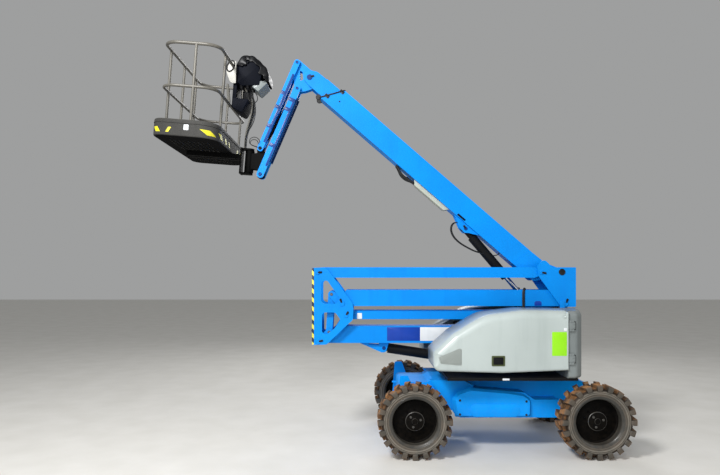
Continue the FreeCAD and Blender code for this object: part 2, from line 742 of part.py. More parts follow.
def lower_boom():
    x0 = lower_pin[0]
    x1 = mast_lower_pin[0]
    z0 = lower_pin[1] + lower_boom_bottom
    z1 = z0 + lower_boom_height
    inner = box(x0 + 300, x1 - 250, boom_wall - lower_boom_half_width, lower_boom_half_width - boom_wall,
                z0 + boom_wall, z1 - boom_wall)
    body = slab([
        (x0 + 270, z1, 0), (x0 - 20, z0 + 70, 0), (x0 - 20, z0, 0),
        (x1 + 20, z0, 0), (x1 + 20, z0 + 70, 0), (x1 - 220, z1, 0),
    ], -lower_boom_half_width, lower_boom_half_width).cut(inner)
    pieces = [body]
    pieces.append(rod_y(lower_pin, front_boss, side_gap - knuckle_inner, knuckle_inner - side_gap))
    pieces.append(rod_y(mast_lower_pin, boss, side_gap - mast_inner, mast_inner - side_gap))
    for low, high in ((lever_inner, riser_beam_outer), (-riser_beam_outer, -lever_inner)):
        pieces.append(strap(lower_pin, timing_low, front_boss, 40, low, high))
    link_low = lever_inner - side_gap - link_thickness
    for low, high in ((link_low - 1, lever_inner), (-lever_inner, 1 - link_low)):
        pieces.append(rod_y(timing_low, small_pin - 6, low, high))
    lug = riser_cylinder_lug
    ear = [
        (lug[0] - 320, z0 + 2, 0), (lug[0] - 30, lug[1] - 55, 0), (lug[0] + 25, lug[1] - 55, 40),
        (lug[0] + 62, z0 + 2, 0),
    ]
    slot = [
        (lug[0] - 190, z0 - 26, 7), (lug[0] - 60, z0 - 34, 7), (lug[0] - 60, z0 - 8, 7), (lug[0] - 190, z0 - 8, 7),
    ]
    for low, high in ram_plates:
        pieces.append(slab(ear, low, high).cut(slab(slot, low - 1, high + 1)))
    pieces.append(rod_y(lug, ram_pin, -ram_plate_inner - ram_plate, ram_plate_inner + ram_plate))
    whole = join(pieces)
    whole = whole.cut(rod_y(lower_pin, pin_radius + fit, -300, 300))
    return whole.cut(rod_y(mast_lower_pin, pin_radius + fit, -300, 300))


def tie(a, b, height, eye, half_gap, width, pin):
    """One tie bar on the operator's left: a tube between two eyes."""
    low = -half_gap - width
    high = -half_gap
    taper = 75.0
    half = height / 2
    tube = slab([
        (a[0], a[1] - eye, 0), (a[0] + taper, a[1] - half, 0), (b[0] - taper, b[1] - half, 0), (b[0], b[1] - eye, 0),
        (b[0], b[1] + eye, 0), (b[0] - taper, b[1] + half, 0), (a[0] + taper, a[1] + half, 0), (a[0], a[1] + eye, 0),
    ], low, high)
    wall = 6.0
    inside = box(a[0] + taper + 20, b[0] - taper - 20, low + wall, high - wall,
                 a[1] - half + wall, a[1] + half - wall)
    whole = join([tube, rod_y(a, eye, low, high), rod_y(b, eye, low, high)]).cut(inside)
    return whole.cut([rod_y(a, pin + fit, low - 1, high + 1), rod_y(b, pin + fit, low - 1, high + 1)])


lower_tie_inner = 72.0
lower_tie_width = 50.0


def timing_link():
    low = -lever_inner + side_gap
    bar = strap(timing_low, timing_high, link_width / 2, link_width / 2, low, low + link_thickness)
    return bar.cut(rod_y(timing_low, small_pin - 6 + fit, low - 1, low + link_thickness + 1))


def mid_knuckle():
    """Two plates with two windows each, a front flange, and the four pins of the linkage."""
    rim_left = -919.0
    side = [
        (rim_left, 2142, 0), (-800, 2148, 20), (-745, 2115, 40), (-448, 1712, 60), (-432, 1640, 60),
        (-440, 1500, 60), (-490, 1455, 50), (-765, 1195, 40), (rim_left, 1190, 0),
    ]
    high_window = [(-832, 1982, 45), (-753, 1982, 30), (-602, 1764, 25), (-650, 1700, 30), (-832, 1700, 50)]
    low_window = [
        (-820, 1591, 40), (-657, 1591, 50), (-594, 1503, 25), (-668, 1392, 60), (-765, 1316, 40), (-820, 1345, 30),
    ]
    pieces = []
    for low, high in ((knuckle_inner, knuckle_outer), (-knuckle_outer, -knuckle_inner)):
        face = slab(side, low, high)
        pieces.append(face.cut([slab(high_window, low - 1, high + 1), slab(low_window, low - 1, high + 1)]))
    flange = 25.0
    for low, high in ((knuckle_inner - 40, knuckle_outer), (-knuckle_outer, 40 - knuckle_inner)):
        pieces.append(box(rim_left - flange, rim_left, low, high, 1190, 2142))
    pieces.append(box(rim_left - flange, rim_left, -knuckle_inner, knuckle_inner, 1320, 1660))
    for at, radius in ((lower_pin, pin_radius), (lower_tie_pin, small_pin), (upper_pin, pin_radius)):
        pieces.append(rod_y(at, radius, -knuckle_outer - 6, knuckle_outer + 6))
    tie_inner = upper_tie_outer - upper_tie_width
    for low, high in ((tie_inner - 6, knuckle_outer + 6), (-knuckle_outer - 6, 6 - tie_inner)):
        pieces.append(rod_y(upper_tie_pin, small_pin, low, high))
    return join(pieces)


save("lower_boom", lower_boom())
save("lower_ties", twin(tie(lower_tie_pin, mast_upper_pin, lower_tie_height, small_boss,
                            lower_tie_inner, lower_tie_width, small_pin)))
save("mid_knuckle", mid_knuckle())
save("timing_links", twin(timing_link()))

# Upper riser, upper ties and upper knuckle

riser_cross = (-300.0, -20.0, 635.0)
riser_cross_radius = 28.0


def upper_riser():
    """Twin box beams, so that the lowered boom and its ram nest between them."""
    z0 = upper_pin[1] + upper_riser_bottom
    z1 = z0 + upper_riser_height
    beam_inner = riser_beam_outer - riser_beam_width
    side = [
        (upper_pin[0] + 50, z1, 0), (upper_pin[0] - 30, z0 + 70, 0), (upper_pin[0], z0, 0),
        (knuckle_riser_pin[0], z0, 0), (knuckle_riser_pin[0] + 30, z0 + 70, 0), (knuckle_riser_pin[0] - 120, z1, 0),
    ]
    pieces = []
    for sign in (-1, 1):
        low = min(sign * beam_inner, sign * riser_beam_outer)
        high = low + riser_beam_width
        beam = slab(side, low, high)
        beam = beam.fuse([rod_y(upper_pin, boss, low, high), rod_y(knuckle_riser_pin, boss, low, high)])
        inside = box(upper_pin[0] + 150, knuckle_riser_pin[0] - 200, low + boom_wall, high - boom_wall,
                     z0 + boom_wall, z1 - boom_wall)
        beam = beam.cut(inside)
        lever_low = lever_inner if sign > 0 else -riser_beam_outer
        lever = strap(upper_pin, timing_high, boss, 42, lever_low, lever_low + riser_beam_outer - lever_inner)
        pieces += [beam, lever]
    for x in riser_cross:
        pieces.append(rod_y((x, z0 + riser_cross_radius), riser_cross_radius, -beam_inner - 1, beam_inner + 1))
    whole = join(pieces)
    whole = whole.cut(rod_y(upper_pin, pin_radius + fit, -300, 300))
    return whole.cut(rod_y(knuckle_riser_pin, pin_radius + fit, -300, 300))


def upper_knuckle():
    """Two plates joined at the tail, with the main boom's pivot and the arms of the lift ram."""
    x, z = boom_pivot
    back_x = x + 173
    foot_z = z - 430
    side = [
        (x - 306, z + 70, 40), (x - 223, z + 165, 50), (x - 118, z + 58, 0), (back_x, z + 58, 12),
        (back_x, foot_z, 12), (x - 12, foot_z, 40), (x - 288, z - 50, 60),
    ]
    pieces = []
    for low, high in ((knuckle_inner, knuckle_outer), (-knuckle_outer, -knuckle_inner)):
        pieces.append(slab(side, low, high))
    pieces.append(box(back_x - 20, back_x, -knuckle_inner, knuckle_inner, foot_z, z + 40))
    base_x, base_z = lift_base
    arm = [
        (back_x - 11, z - 315, 0), (base_x, base_z + 58, 0), (base_x - 58, base_z + 20, 30),
        (base_x - 50, base_z - 55, 30), (base_x + 40, base_z - 55, 0), (back_x - 11, foot_z + 5, 0),
    ]
    for low, high in ram_plates:
        pieces.append(slab(arm, low, high))
        pieces.append(rod_y(lift_base, ram_pin, low, high))
    for at in (boom_pivot, knuckle_riser_pin):
        pieces.append(rod_y(at, pin_radius, -knuckle_outer - 6, knuckle_outer + 6))
    tie_inner = upper_tie_outer - upper_tie_width
    for low, high in ((tie_inner - 6, knuckle_outer + 6), (-knuckle_outer - 6, 6 - tie_inner)):
        pieces.append(rod_y(knuckle_tie_pin, small_pin, low, high))
    return join(pieces)


save("upper_riser", upper_riser())
save("upper_ties", twin(tie(upper_tie_pin, knuckle_tie_pin, upper_tie_height, front_small_boss,
                            upper_tie_outer - upper_tie_width, upper_tie_width, small_pin)))
save("upper_knuckle", upper_knuckle())

# Riser ram: barrel on the lower boom, rod down to the turntable

riser_stroke = 790.0
riser_ram_length = span(riser_cylinder_lug, riser_cylinder_base)
riser_barrel_end = 950.0
riser_rod_reach = riser_ram_length + riser_stroke - riser_barrel_end + 50
riser_barrel, riser_rod = ram(riser_ram_length, riser_ram_length, riser_barrel_end, 55.0, 62.0, 36.0, 46.0, 46.0,
                              ram_plate_inner - side_gap, riser_rod_reach)
save("riser_ram_barrel", laid(riser_barrel.cut(rod_y((0, 0), ram_pin + fit, -100, 100)),
                              riser_cylinder_lug, riser_cylinder_base))
save("riser_ram_rod", laid(riser_rod, riser_cylinder_lug, riser_cylinder_base))

# Main boom, drawn lowered and then raised to its angle


def boom_box(along0, along1, half_width, below0, below1):
    x1, z1 = on_boom(along0, below0)
    x0, z0 = on_boom(along1, below1)
    return box(x0, x1, -half_width, half_width, z0, z1)


def boom_slab(rows, y0, y1):
    return slab([on_boom(a, b) + (r,) for a, b, r in rows], y0, y1)


inner_half_width = boom_half_width - boom_wall - fly_gap
inner_top = boom_top + boom_wall + fly_gap
inner_bottom = boom_bottom - boom_wall - fly_gap
root_along = 210.0
pad = fly_gap - seat


def main_boom():
    body = boom_slab([
        (root_along, boom_top, 0), (root_along + 30, boom_bottom, 0), (boom_mouth_bottom, boom_bottom, 0),
        (boom_mouth_top, boom_top, 0),
    ], -boom_half_width, boom_half_width)
    cavity = boom_box(root_along + 60, boom_mouth_bottom + 50, boom_half_width - boom_wall,
                      boom_top + boom_wall, boom_bottom - boom_wall)
    shell = body.cut(cavity)
    cheek = [
        (-32, 45, 25), (-46, -14, 30), (0, -44, 40), (root_along, boom_top - 6, 0),
        (root_along + 240, boom_top + 2, 0),
        (root_along + 300, boom_bottom - 2, 0), (root_along - 40, boom_bottom - 2, 60),
    ]
    pieces = [shell]
    for low, high in ((boom_half_width - 6, boom_half_width + 6), (-boom_half_width - 6, 6 - boom_half_width)):
        pieces.append(boom_slab(cheek, low, high))
    pieces.append(rod_y(boom_pivot, small_boss, side_gap - knuckle_inner, knuckle_inner - side_gap))
    ear = [
        (lift_lug[0] - 190, boom_bottom - 2, 0), (lift_lug[0] - 60, lift_lug[1] + 20, 30),
        (lift_lug[0] - 20, lift_lug[1] + 52, 40), (lift_lug[0] + 60, lift_lug[1] + 40, 40),
        (lift_lug[0] + 240, boom_bottom - 2, 0),
    ]
    for low, high in ram_plates:
        pieces.append(boom_slab(ear, low, high))
    pieces.append(rod_y(on_boom(*lift_lug), ram_pin, -ram_plate_inner - ram_plate, ram_plate_inner + ram_plate))
    mouth = 3400.0
    inner_space = boom_half_width - boom_wall
    pieces.append(boom_box(mouth, mouth + 80, 60, inner_top - fly_gap - 1, inner_top - seat))
    pieces.append(boom_box(mouth, mouth + 80, 60, inner_bottom + seat, inner_bottom + fly_gap + 1))
    for sign in (-1, 1):
        low = min(sign * (inner_half_width + seat), sign * (inner_space + 1))
        x1, z1 = on_boom(mouth, inner_top + 50)
        x0, z0 = on_boom(mouth + 80, inner_bottom - 50)
        pieces.append(box(x0, x1, low, low + pad + 1, z0, z1))
    whole = join(pieces)
    return whole.cut(rod_y(boom_pivot, pin_radius + fit, -300, 300))


def fly_boom():
    rear = 600.0
    front = 3780.0
    body = boom_box(rear, front, inner_half_width, inner_top, inner_bottom)
    cavity = boom_box(rear - 1, front - boom_wall, inner_half_width - boom_wall,
                      inner_top + boom_wall, inner_bottom - boom_wall)
    pieces = [body.cut(cavity)]
    nose = [
        (front - 240, inner_top, 0), (3930, inner_top + 12, 60), (4042, 130, 50), (4042, 250, 60),
        (3900, inner_bottom, 60), (front - 240, inner_bottom, 0),
    ]
    for low, high in ((inner_half_width - 18, inner_half_width), (-inner_half_width, 18 - inner_half_width)):
        pieces.append(boom_slab(nose, low, high))
    pieces.append(rod_y(on_boom(*fly_pivot), pin_radius, -inner_half_width - 4, inner_half_width + 4))
    pieces.append(boom_box(rear, rear + 90, 60, inner_top - pad, inner_top + 1))
    pieces.append(boom_box(rear, rear + 90, 60, inner_bottom - 1, inner_bottom + pad))
    for sign in (-1, 1):
        low = min(sign * (inner_half_width - 1), sign * (inner_half_width + pad))
        x1, z1 = on_boom(rear, inner_top + 50)
        x0, z0 = on_boom(rear + 90, inner_bottom - 50)
        pieces.append(box(x0, x1, low, low + pad + 1, z0, z1))
    return join(pieces)


def cable_tray():
    channel = boom_slab([(1553, boom_bottom + seat, 0), (1600, boom_bottom + 52, 20), (2080, boom_bottom + 52, 20),
                         (2130, boom_bottom + seat, 0)], -70, 70)
    inside = boom_slab([(1500, boom_bottom - 20, 0), (1500, boom_bottom + 44, 0), (2200, boom_bottom + 44, 0),
                        (2200, boom_bottom - 20, 0)], -62, 62)
    return channel.cut(inside)


save("main_boom", turned(main_boom(), boom_pivot, boom_angle))
save("fly_boom", turned(fly_boom(), boom_pivot, boom_angle))
save("cable_tray", turned(cable_tray(), boom_pivot, boom_angle))

lift_pin = boom_point(*lift_lug)
lift_ram_length = span(lift_pin, lift_base)
lift_barrel_end = 800.0
lift_longest = 1542.0
lift_shortest = 884.0
lift_rod_reach = lift_longest - lift_barrel_end + 50
lift_barrel, lift_rod = ram(lift_ram_length, lift_shortest, lift_barrel_end, 134.0, 58.0, 30.0, 44.0, 42.0,
                            ram_plate_inner - side_gap, lift_rod_reach)
save("lift_ram_barrel", laid(lift_barrel.cut(rod_y((0, 0), ram_pin + fit, -100, 100)), lift_pin, lift_base))
save("lift_ram_rod", laid(lift_rod, lift_pin, lift_base))

# Head bracket and jib


def head_bracket():
    """Two plates from the jib's pins to the boom's nose, with a window and a foot lobe."""
    j, k, f = jib_top_pin, jib_low_pin, head_pivot
    side = [
        (j[0] - 42, j[1] + 20, 30), (j[0] + 20, j[1] + 45, 30), (f[0] + 20, f[1] + 95, 60), (f[0] + 80, f[1] + 20, 50),
        (f[0] + 45, f[1] - 130, 40), (f[0] - 60, f[1] - 165, 40), (k[0] - 42, k[1] - 42, 40),
    ]
    window = [
        (j[0] + 30, j[1] - 85, 10), (j[0] + 66, j[1] - 112, 10), (j[0] + 74, j[1] - 205, 10), (j[0] + 34, j[1] - 225, 10),
    ]
    pieces = []
    for low, high in ((bracket_half - bracket_plate, bracket_half), (-bracket_half, bracket_plate - bracket_half)):
        pieces.append(slab(side, low, high).cut(slab(window, low - 1, high + 1)))
    pieces.append(rod_y(f, boss - 4, side_gap + 18 - inner_half_width, inner_half_width - 18 - side_gap))
    pieces.append(box(k[0] - 12, k[0] + 12, -bracket_half, bracket_half, k[1] + 150, j[1] - 50))
    for at in (j, k):
        pieces.append(rod_y(at, jib_pin, -jib_outer - 5, jib_outer + 5))
    return join(pieces).cut(rod_y(f, pin_radius + fit, -200, 200))


def jib_arm(start, height, web_side, web_end):
    """A channel between two pins, open towards the other arm, drawn level from start towards -X."""
    end = (start[0] - jib_length, start[1])
    pieces = []
    for sign in (-1, 1):
        low = min(sign * (jib_outer - jib_bar), sign * jib_outer)
        bar = box(end[0], start[0], low, low + jib_bar, start[1] - height / 2, start[1] + height / 2)
        inside = box(end[0] + 80, start[0] - 80, low + 6, low + jib_bar - 6,
                     start[1] - height / 2 + 6, start[1] + height / 2 - 6)
        bar = bar.cut(inside)
        pieces += [bar, rod_y(start, height / 2, low, low + jib_bar), rod_y(end, height / 2, low, low + jib_bar)]
    z0 = start[1] + web_side * height / 2 - (jib_web if web_side > 0 else 0)
    pieces.append(box(end[0] + web_end, start[0] - 130, -jib_outer, jib_outer, z0, z0 + jib_web))
    whole = join(pieces)
    whole = whole.cut([rod_y(start, jib_pin + fit, -200, 200), rod_y(end, jib_pin + fit, -200, 200)])
    return turned(whole, start, jib_angle)


def cage_post():
    """Upright at the jib's end: two plates that carry the housing of the cage's rotator."""
    k, m = post_top_pin, post_low_pin
    eye = jib_lower_height / 2
    side = [
        (k[0] - eye, k[1] + eye, 30), (k[0] + eye, k[1] + eye, 38), (m[0] + eye, m[1] - eye, 40),
        (m[0] - eye, m[1] - eye, 30),
        (m[0] - eye, post_low_z + 30, 0), (rotator[0], post_low_z + 40, 0), (rotator[0], post_high_z - 40, 0),
        (k[0] - eye, post_high_z - 30, 0),
    ]
    pieces = []
    for low, high in ((bracket_half - bracket_plate, bracket_half), (-bracket_half, bracket_plate - bracket_half)):
        pieces.append(slab(side, low, high))
    for low, high in ((bracket_half - bracket_plate, jib_outer + 5), (-jib_outer - 5, bracket_plate - bracket_half)):
        pieces.append(rod_y(k, jib_pin, low, high))
    pieces.append(rod_y(m, jib_pin, -jib_outer - 5, jib_outer + 5))
    pieces.append(turned(rod_z(rotator[0], 0, rotator_radius, post_low_z, post_high_z), rotator, cage_tilt))
    bore = rod_z(rotator[0], 0, rotator_pin + fit, post_low_z - 5, post_high_z + 5)
    return join(pieces).cut(turned(bore, rotator, cage_tilt))


save("head_bracket", head_bracket())
save("jib_upper_arm", jib_arm(jib_top_pin, jib_upper_height, 1, 400))
save("jib_lower_arm", jib_arm(jib_low_pin, jib_lower_height, -1, 190))
save("cage_post", cage_post())

jib_ram_length = span(jib_low_pin, post_top_pin)
jib_longest = 1478.0
jib_shortest = 848.0
jib_barrel_end = 735.0
jib_rod_reach = jib_longest - jib_barrel_end + 40
jib_barrel, jib_rod = ram(jib_ram_length, jib_shortest, jib_barrel_end, 46.0, 26.0, 15.0, 34.0, 28.0,
                          bracket_half - bracket_plate - side_gap, jib_rod_reach)
save("jib_ram_barrel", laid(jib_barrel.cut(rod_y((0, 0), jib_pin + fit, -100, 100)), jib_low_pin, post_top_pin))
save("jib_ram_rod", laid(jib_rod, jib_low_pin, post_top_pin))

# Cage

tray_edge = 22.0
groove_count = 9
groove_depth = 12.0
groove_gap = 110.0            # from the middle plane, over the mount's two beams


def tipped(shape):
    return turned(shape, rotator, cage_tilt)


def tray_block(inset, z0, z1):
    """The tray's plan drawn in by inset and raised from z0 to z1. Its corners towards the boom are the larger."""
    half = cage_half_length - inset
    plan = [
        (cage_far_x + inset, -half, tray_far_corner - inset), (cage_near_x - inset, -half, tray_near_corner - inset),
        (cage_near_x - inset, half, tray_near_corner - inset), (cage_far_x + inset, half, tray_far_corner - inset),
    ]
    return Part.Face(outline_flat(plan, z0)).extrude(Vec(0, 0, z1 - z0))


def cage_tray():
    """Moulded floor pan with a raised rim and a ribbed underside."""
    outer = tray_block(0, tray_bottom_z, tray_bottom_z + tray_height)
    foot = [e for e in outer.Edges if e.BoundBox.ZMax < tray_bottom_z + 1]
    rim = [e for e in outer.Edges if e.BoundBox.ZMin > tray_bottom_z + tray_height - 1]
    outer = outer.makeFillet(tray_edge, foot).makeFillet(tray_edge, rim)
    tray = outer.cut(tray_block(tray_wall, tray_bottom_z + tray_floor, tray_bottom_z + tray_height + 1))
    reach = cage_half_length - tray_near_corner
    pitch = (cage_depth - 2 * tray_far_corner) / groove_count
    for i in range(groove_count):
        x = cage_far_x + tray_far_corner + pitch * (i + 0.5)
        for low, high in ((-reach, -groove_gap), (groove_gap, reach)):
            tray = tray.cut(box(x - tray_groove / 2, x + tray_groove / 2, low, high,
                                tray_bottom_z - 1, tray_bottom_z + groove_depth))
    return tray


def bent_rail(z, radius):
    """A tube round the cage: a rounded rectangle swept by a circle."""
    x0 = cage_far_x + rail_inset
    x1 = cage_near_x - rail_inset
    y1 = cage_half_length - rail_inset
    corner = rail_corner
    middle = (x0 + x1) / 2
    points = [(middle, -y1), (x0, -y1), (x0, y1), (x1, y1), (x1, -y1)]
    runs = []
    count = len(points)
    for i in range(count):
        a = Vec(points[i][0], points[i][1], z)
        b = Vec(points[(i + 1) % count][0], points[(i + 1) % count][1], z)
        along = (b - a).normalize()
        start = a if i == 0 else a + along * corner
        finish = b if i == count - 1 else b - along * corner
        runs.append(Part.makeLine(start, finish))
        if i < count - 1:
            c = Vec(points[(i + 2) % count][0], points[(i + 2) % count][1], z)
            turn = (c - b).normalize()
            centre = b - along * corner + turn * corner
            mid = centre + (along - turn).normalize() * corner
            runs.append(Part.Arc(finish, mid, b + turn * corner).toShape())
    path = Part.Wire(runs)
    ring = Part.Wire([Part.makeCircle(radius, Vec(middle, -y1, z), Vec(-1, 0, 0))])
    return path.makePipeShell([ring], True, False)


rail_far_x = cage_far_x + rail_inset
rail_near_x = cage_near_x - rail_inset
rail_side_y = cage_half_length - rail_inset
posts = (
    # x, y
    (rail_near_x - 263.0, -rail_side_y), (rail_far_x, -560.0), (rail_far_x, 0.0), (rail_far_x, 560.0),
    (rail_near_x - 263.0, rail_side_y), (rail_near_x, 560.0), (rail_near_x, -560.0),
)


def cage_rails():
    """Two bent rails on posts that stand in the tray."""
    pieces = [bent_rail(rail_top_z, rail_radius), bent_rail(rail_mid_z, rail_radius - 2)]
    for x, y in posts:
        pieces.append(rod_z(x, y, rail_radius - 2, tray_bottom_z + tray_floor + seat, rail_top_z))
    return join(pieces)


mount_ends = 24.0             # the mount's plates above and below the rotator


def cage_mount():
    """Swings about the rotator: a plate above and below it, an upright and two beams under the tray."""
    x = rotator[0]
    back_x = x - 90
    disc = 52.0
    half_width = 80.0
    top = post_high_z + side_gap + mount_ends
    bottom = post_low_z - side_gap - mount_ends
    pieces = [rod_z(x, 0, rotator_pin, bottom, top), box(back_x - 18, back_x, -half_width, half_width, bottom, top)]
    for low in (bottom, top - mount_ends):
        pieces.append(rod_z(x, 0, disc, low, low + mount_ends))
        pieces.append(box(back_x - 10, x, -disc, disc, low, low + mount_ends))
    for low in (-half_width, half_width - 50):
        pieces.append(box(cage_far_x + 180, back_x, low, low + 50, tray_bottom_z - 60, tray_bottom_z - seat))
    return join(pieces)


console_half_width = 170.0
hood_line = (
    # out from the rail's face, above the top rail's middle, corner radius
    (102, -240, 20), (337, -220, 30), (367, -80, 40), (317, 50, 60), (207, 158, 50), (102, 146, 60),
    (43, 62, 20), (48, -200, 20),
)
holder_line = (
    (12, -400, 0), (12, -520, 20), (138, -580, 30), (218, -410, 0),
)


def console():
    """Control box on the near rail, with its hood and the tool tray below it."""
    rail_face = rail_near_x + rail_radius + seat
    hood, tray = [
        slab([(rail_face + out, rail_top_z + up, radius) for out, up, radius in rows], -half, half)
        for rows, half in ((hood_line, console_half_width), (holder_line, console_half_width + 20))
    ]
    arm = box(rail_face, rail_face + 50, -150, 150, rail_mid_z - 20, rail_top_z + 20)
    return join([hood, tray, arm])


def hose(points, radius):
    """A tube along straight runs joined by tangent arcs, each as large as its two runs allow."""
    spots = [Vec(*row) for row in points]
    runs = []
    start = spots[0]
    for i in range(1, len(spots) - 1):
        back = (spots[i - 1] - spots[i])
        ahead = (spots[i + 1] - spots[i])
        reach = 0.45 * min(back.Length, ahead.Length)
        back.normalize()
        ahead.normalize()
        half = back.getAngle(ahead) / 2
        arc_radius = reach * math.tan(half)
        first = spots[i] + back * reach
        last = spots[i] + ahead * reach
        middle = spots[i] + (back + ahead).normalize() * (arc_radius / math.sin(half) - arc_radius)
        runs.append(Part.LineSegment(start, first).toShape())
        runs.append(Part.Arc(first, middle, last).toShape())
        start = last
    runs.append(Part.LineSegment(start, spots[-1]).toShape())
    ring = Part.Wire([Part.makeCircle(radius, spots[0], spots[1] - spots[0])])
    return Part.Wire(runs).makePipeShell([ring], True, False)


console_hoses = (
    # y, and how far the hose bows out towards the boom past the first one
    (-75.0, 0.0), (-38.0, 14.0), (0.0, 4.0), (40.0, 18.0),
)
hose_run = (
    # towards the boom from the rotator, below the top rail, share of y, share of the bow
    (-110.0, -238.0, 1.00, 0.0), (-106.0, -275.0, 1.00, 0.0), (-14.0, -360.0, 1.00, 1.0), (-4.0, -500.0, 0.90, 1.0),
    (-30.0, -640.0, 0.75, 0.8), (-62.0, -790.0, 0.62, 0.2), (-65.0, -900.0, 0.60, 0.0),
)


def console_hose(y, bow):
    """From under the console's hood, past the tool holder, down to the mount's upper plate."""
    points = [
        (rotator[0] + out + bow * bow_share, y * y_share, rail_top_z + up) for out, up, y_share, bow_share in hose_run
    ]
    points.append((points[-1][0], points[-1][1], post_high_z + side_gap + mount_ends + seat))
    return hose(points, hose_radius)


def jib_hoses():
    """Two hoses clipped to the outer face of the lower arm, drawn level like the arm."""
    start = jib_low_pin
    below = start[1] - jib_lower_height / 2 - seat
    lines = []
    for y in (-70.0, -44.0, 66.0):
        tube = Part.makeCylinder(hose_radius, jib_length - 300, Vec(start[0] - 110, y, below - hose_radius), Vec(-1, 0, 0))
        lines.append(turned(tube, start, jib_angle))
    return lines


save("hoses_console", [tipped(console_hose(y, bow)) for y, bow in console_hoses])
save("hoses_jib", jib_hoses())
save("cage_tray", tipped(cage_tray()))
save("cage_rails", tipped(cage_rails()))
save("cage_mount", tipped(cage_mount()))
save("cage_console", tipped(console()))
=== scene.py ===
import bpy
import math
import numpy as np
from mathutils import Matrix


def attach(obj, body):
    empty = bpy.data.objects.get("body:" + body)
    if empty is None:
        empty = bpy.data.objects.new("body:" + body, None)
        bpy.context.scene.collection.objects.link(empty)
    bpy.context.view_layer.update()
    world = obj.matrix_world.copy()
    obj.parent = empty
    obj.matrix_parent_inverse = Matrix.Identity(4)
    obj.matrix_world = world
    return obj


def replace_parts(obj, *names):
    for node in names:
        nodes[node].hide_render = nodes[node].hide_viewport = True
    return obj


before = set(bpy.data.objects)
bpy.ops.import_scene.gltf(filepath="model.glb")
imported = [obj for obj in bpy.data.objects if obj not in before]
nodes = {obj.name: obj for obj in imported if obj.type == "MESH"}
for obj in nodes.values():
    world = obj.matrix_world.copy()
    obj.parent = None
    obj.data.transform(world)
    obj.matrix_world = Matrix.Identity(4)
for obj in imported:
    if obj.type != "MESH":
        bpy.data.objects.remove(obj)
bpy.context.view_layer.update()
scene = bpy.context.scene
print("stage: frame loaded,", len(nodes), "nodes")

# Camera: level, on the operator's left, with the photograph's field and rise
cameraValues = {"at": (-0.327, -8.05, 2.09), "lens": 31.7, "sensor": 36.0, "shiftX": -0.0028, "shiftY": 0.0479}
cameraData = bpy.data.cameras.new("camera")
cameraData.lens = cameraValues["lens"]
cameraData.sensor_width = cameraValues["sensor"]
cameraData.shift_x = cameraValues["shiftX"]
cameraData.shift_y = cameraValues["shiftY"]
camera = bpy.data.objects.new("camera", cameraData)
camera.location = cameraValues["at"]
camera.rotation_euler = (math.radians(90), 0, 0)
scene.collection.objects.link(camera)
scene.camera = camera
scene.view_settings.view_transform = "Standard"


# Colours are written as sRGB hex and turned into the linear values that a shader takes.
def colour(text):
    parts = [int(text[i:i + 2], 16) / 255 for i in (1, 3, 5)]
    return tuple(c / 12.92 if c <= 0.04045 else ((c + 0.055) / 1.055) ** 2.4 for c in parts) + (1.0,)


# The kinds of node in use: Blender's name, its own settings, the inputs that values go to in order, and its output.
# A kind that isn't listed is the operation of a Math node.
nodeKinds = {
    "principled": ("BsdfPrincipled", {}, (), 0),
    "place": ("TexCoord", {}, (), "Object"),
    "normal": ("NewGeometry", {}, (), "Normal"),
    "x": ("SeparateXYZ", {}, (0,), "X"),
    "y": ("SeparateXYZ", {}, (0,), "Y"),
    "z": ("SeparateXYZ", {}, (0,), "Z"),
    "dust": ("Attribute", {"attribute_name": "dust"}, (), "Fac"),
    "pale": ("Attribute", {"attribute_name": "pale"}, (), "Fac"),
    "noise": ("TexNoise", {}, ("Vector", "Scale", "Detail"), "Fac"),
    "stretch": ("Mapping", {}, ("Vector", "Scale"), 0),
    "mix": ("Mix", {"data_type": "RGBA"}, (0, 6, 7), 2),
    "darken": ("Mix", {"data_type": "RGBA", "blend_type": "MULTIPLY"}, (0, 6, 7), 2),
    "range": ("MapRange", {}, ("Value", "From Min", "From Max", "To Min", "To Max"), 0),
    "bump": ("Bump", {}, ("Height", "Distance"), 0),
}


# Gives inputs of a node their values. A socket is linked.
def fill(node, values):
    for key, value in values.items():
        if isinstance(value, bpy.types.NodeSocket):
            node.id_data.links.new(value, node.inputs[key])
        else:
            node.inputs[key].default_value = value


# A new material, its shader, and the one function that adds a node and hands on its output
def startMaterial(name):
    material = bpy.data.materials.new(name)
    material.use_nodes = True
    tree = material.node_tree
    tree.nodes.clear()

    def add(kind, *values):
        title, settings, inputs, output = nodeKinds.get(kind, ("Math", {"operation": kind}, (0, 1), 0))
        node = tree.nodes.new("ShaderNode" + title)
        for key, value in settings.items():
            setattr(node, key, value)
        fill(node, dict(zip(inputs, values)))
        return node.outputs[output]

    surface = add("principled")
    fill(tree.nodes.new("ShaderNodeOutputMaterial"), {"Surface": surface})
    return material, surface.node, add


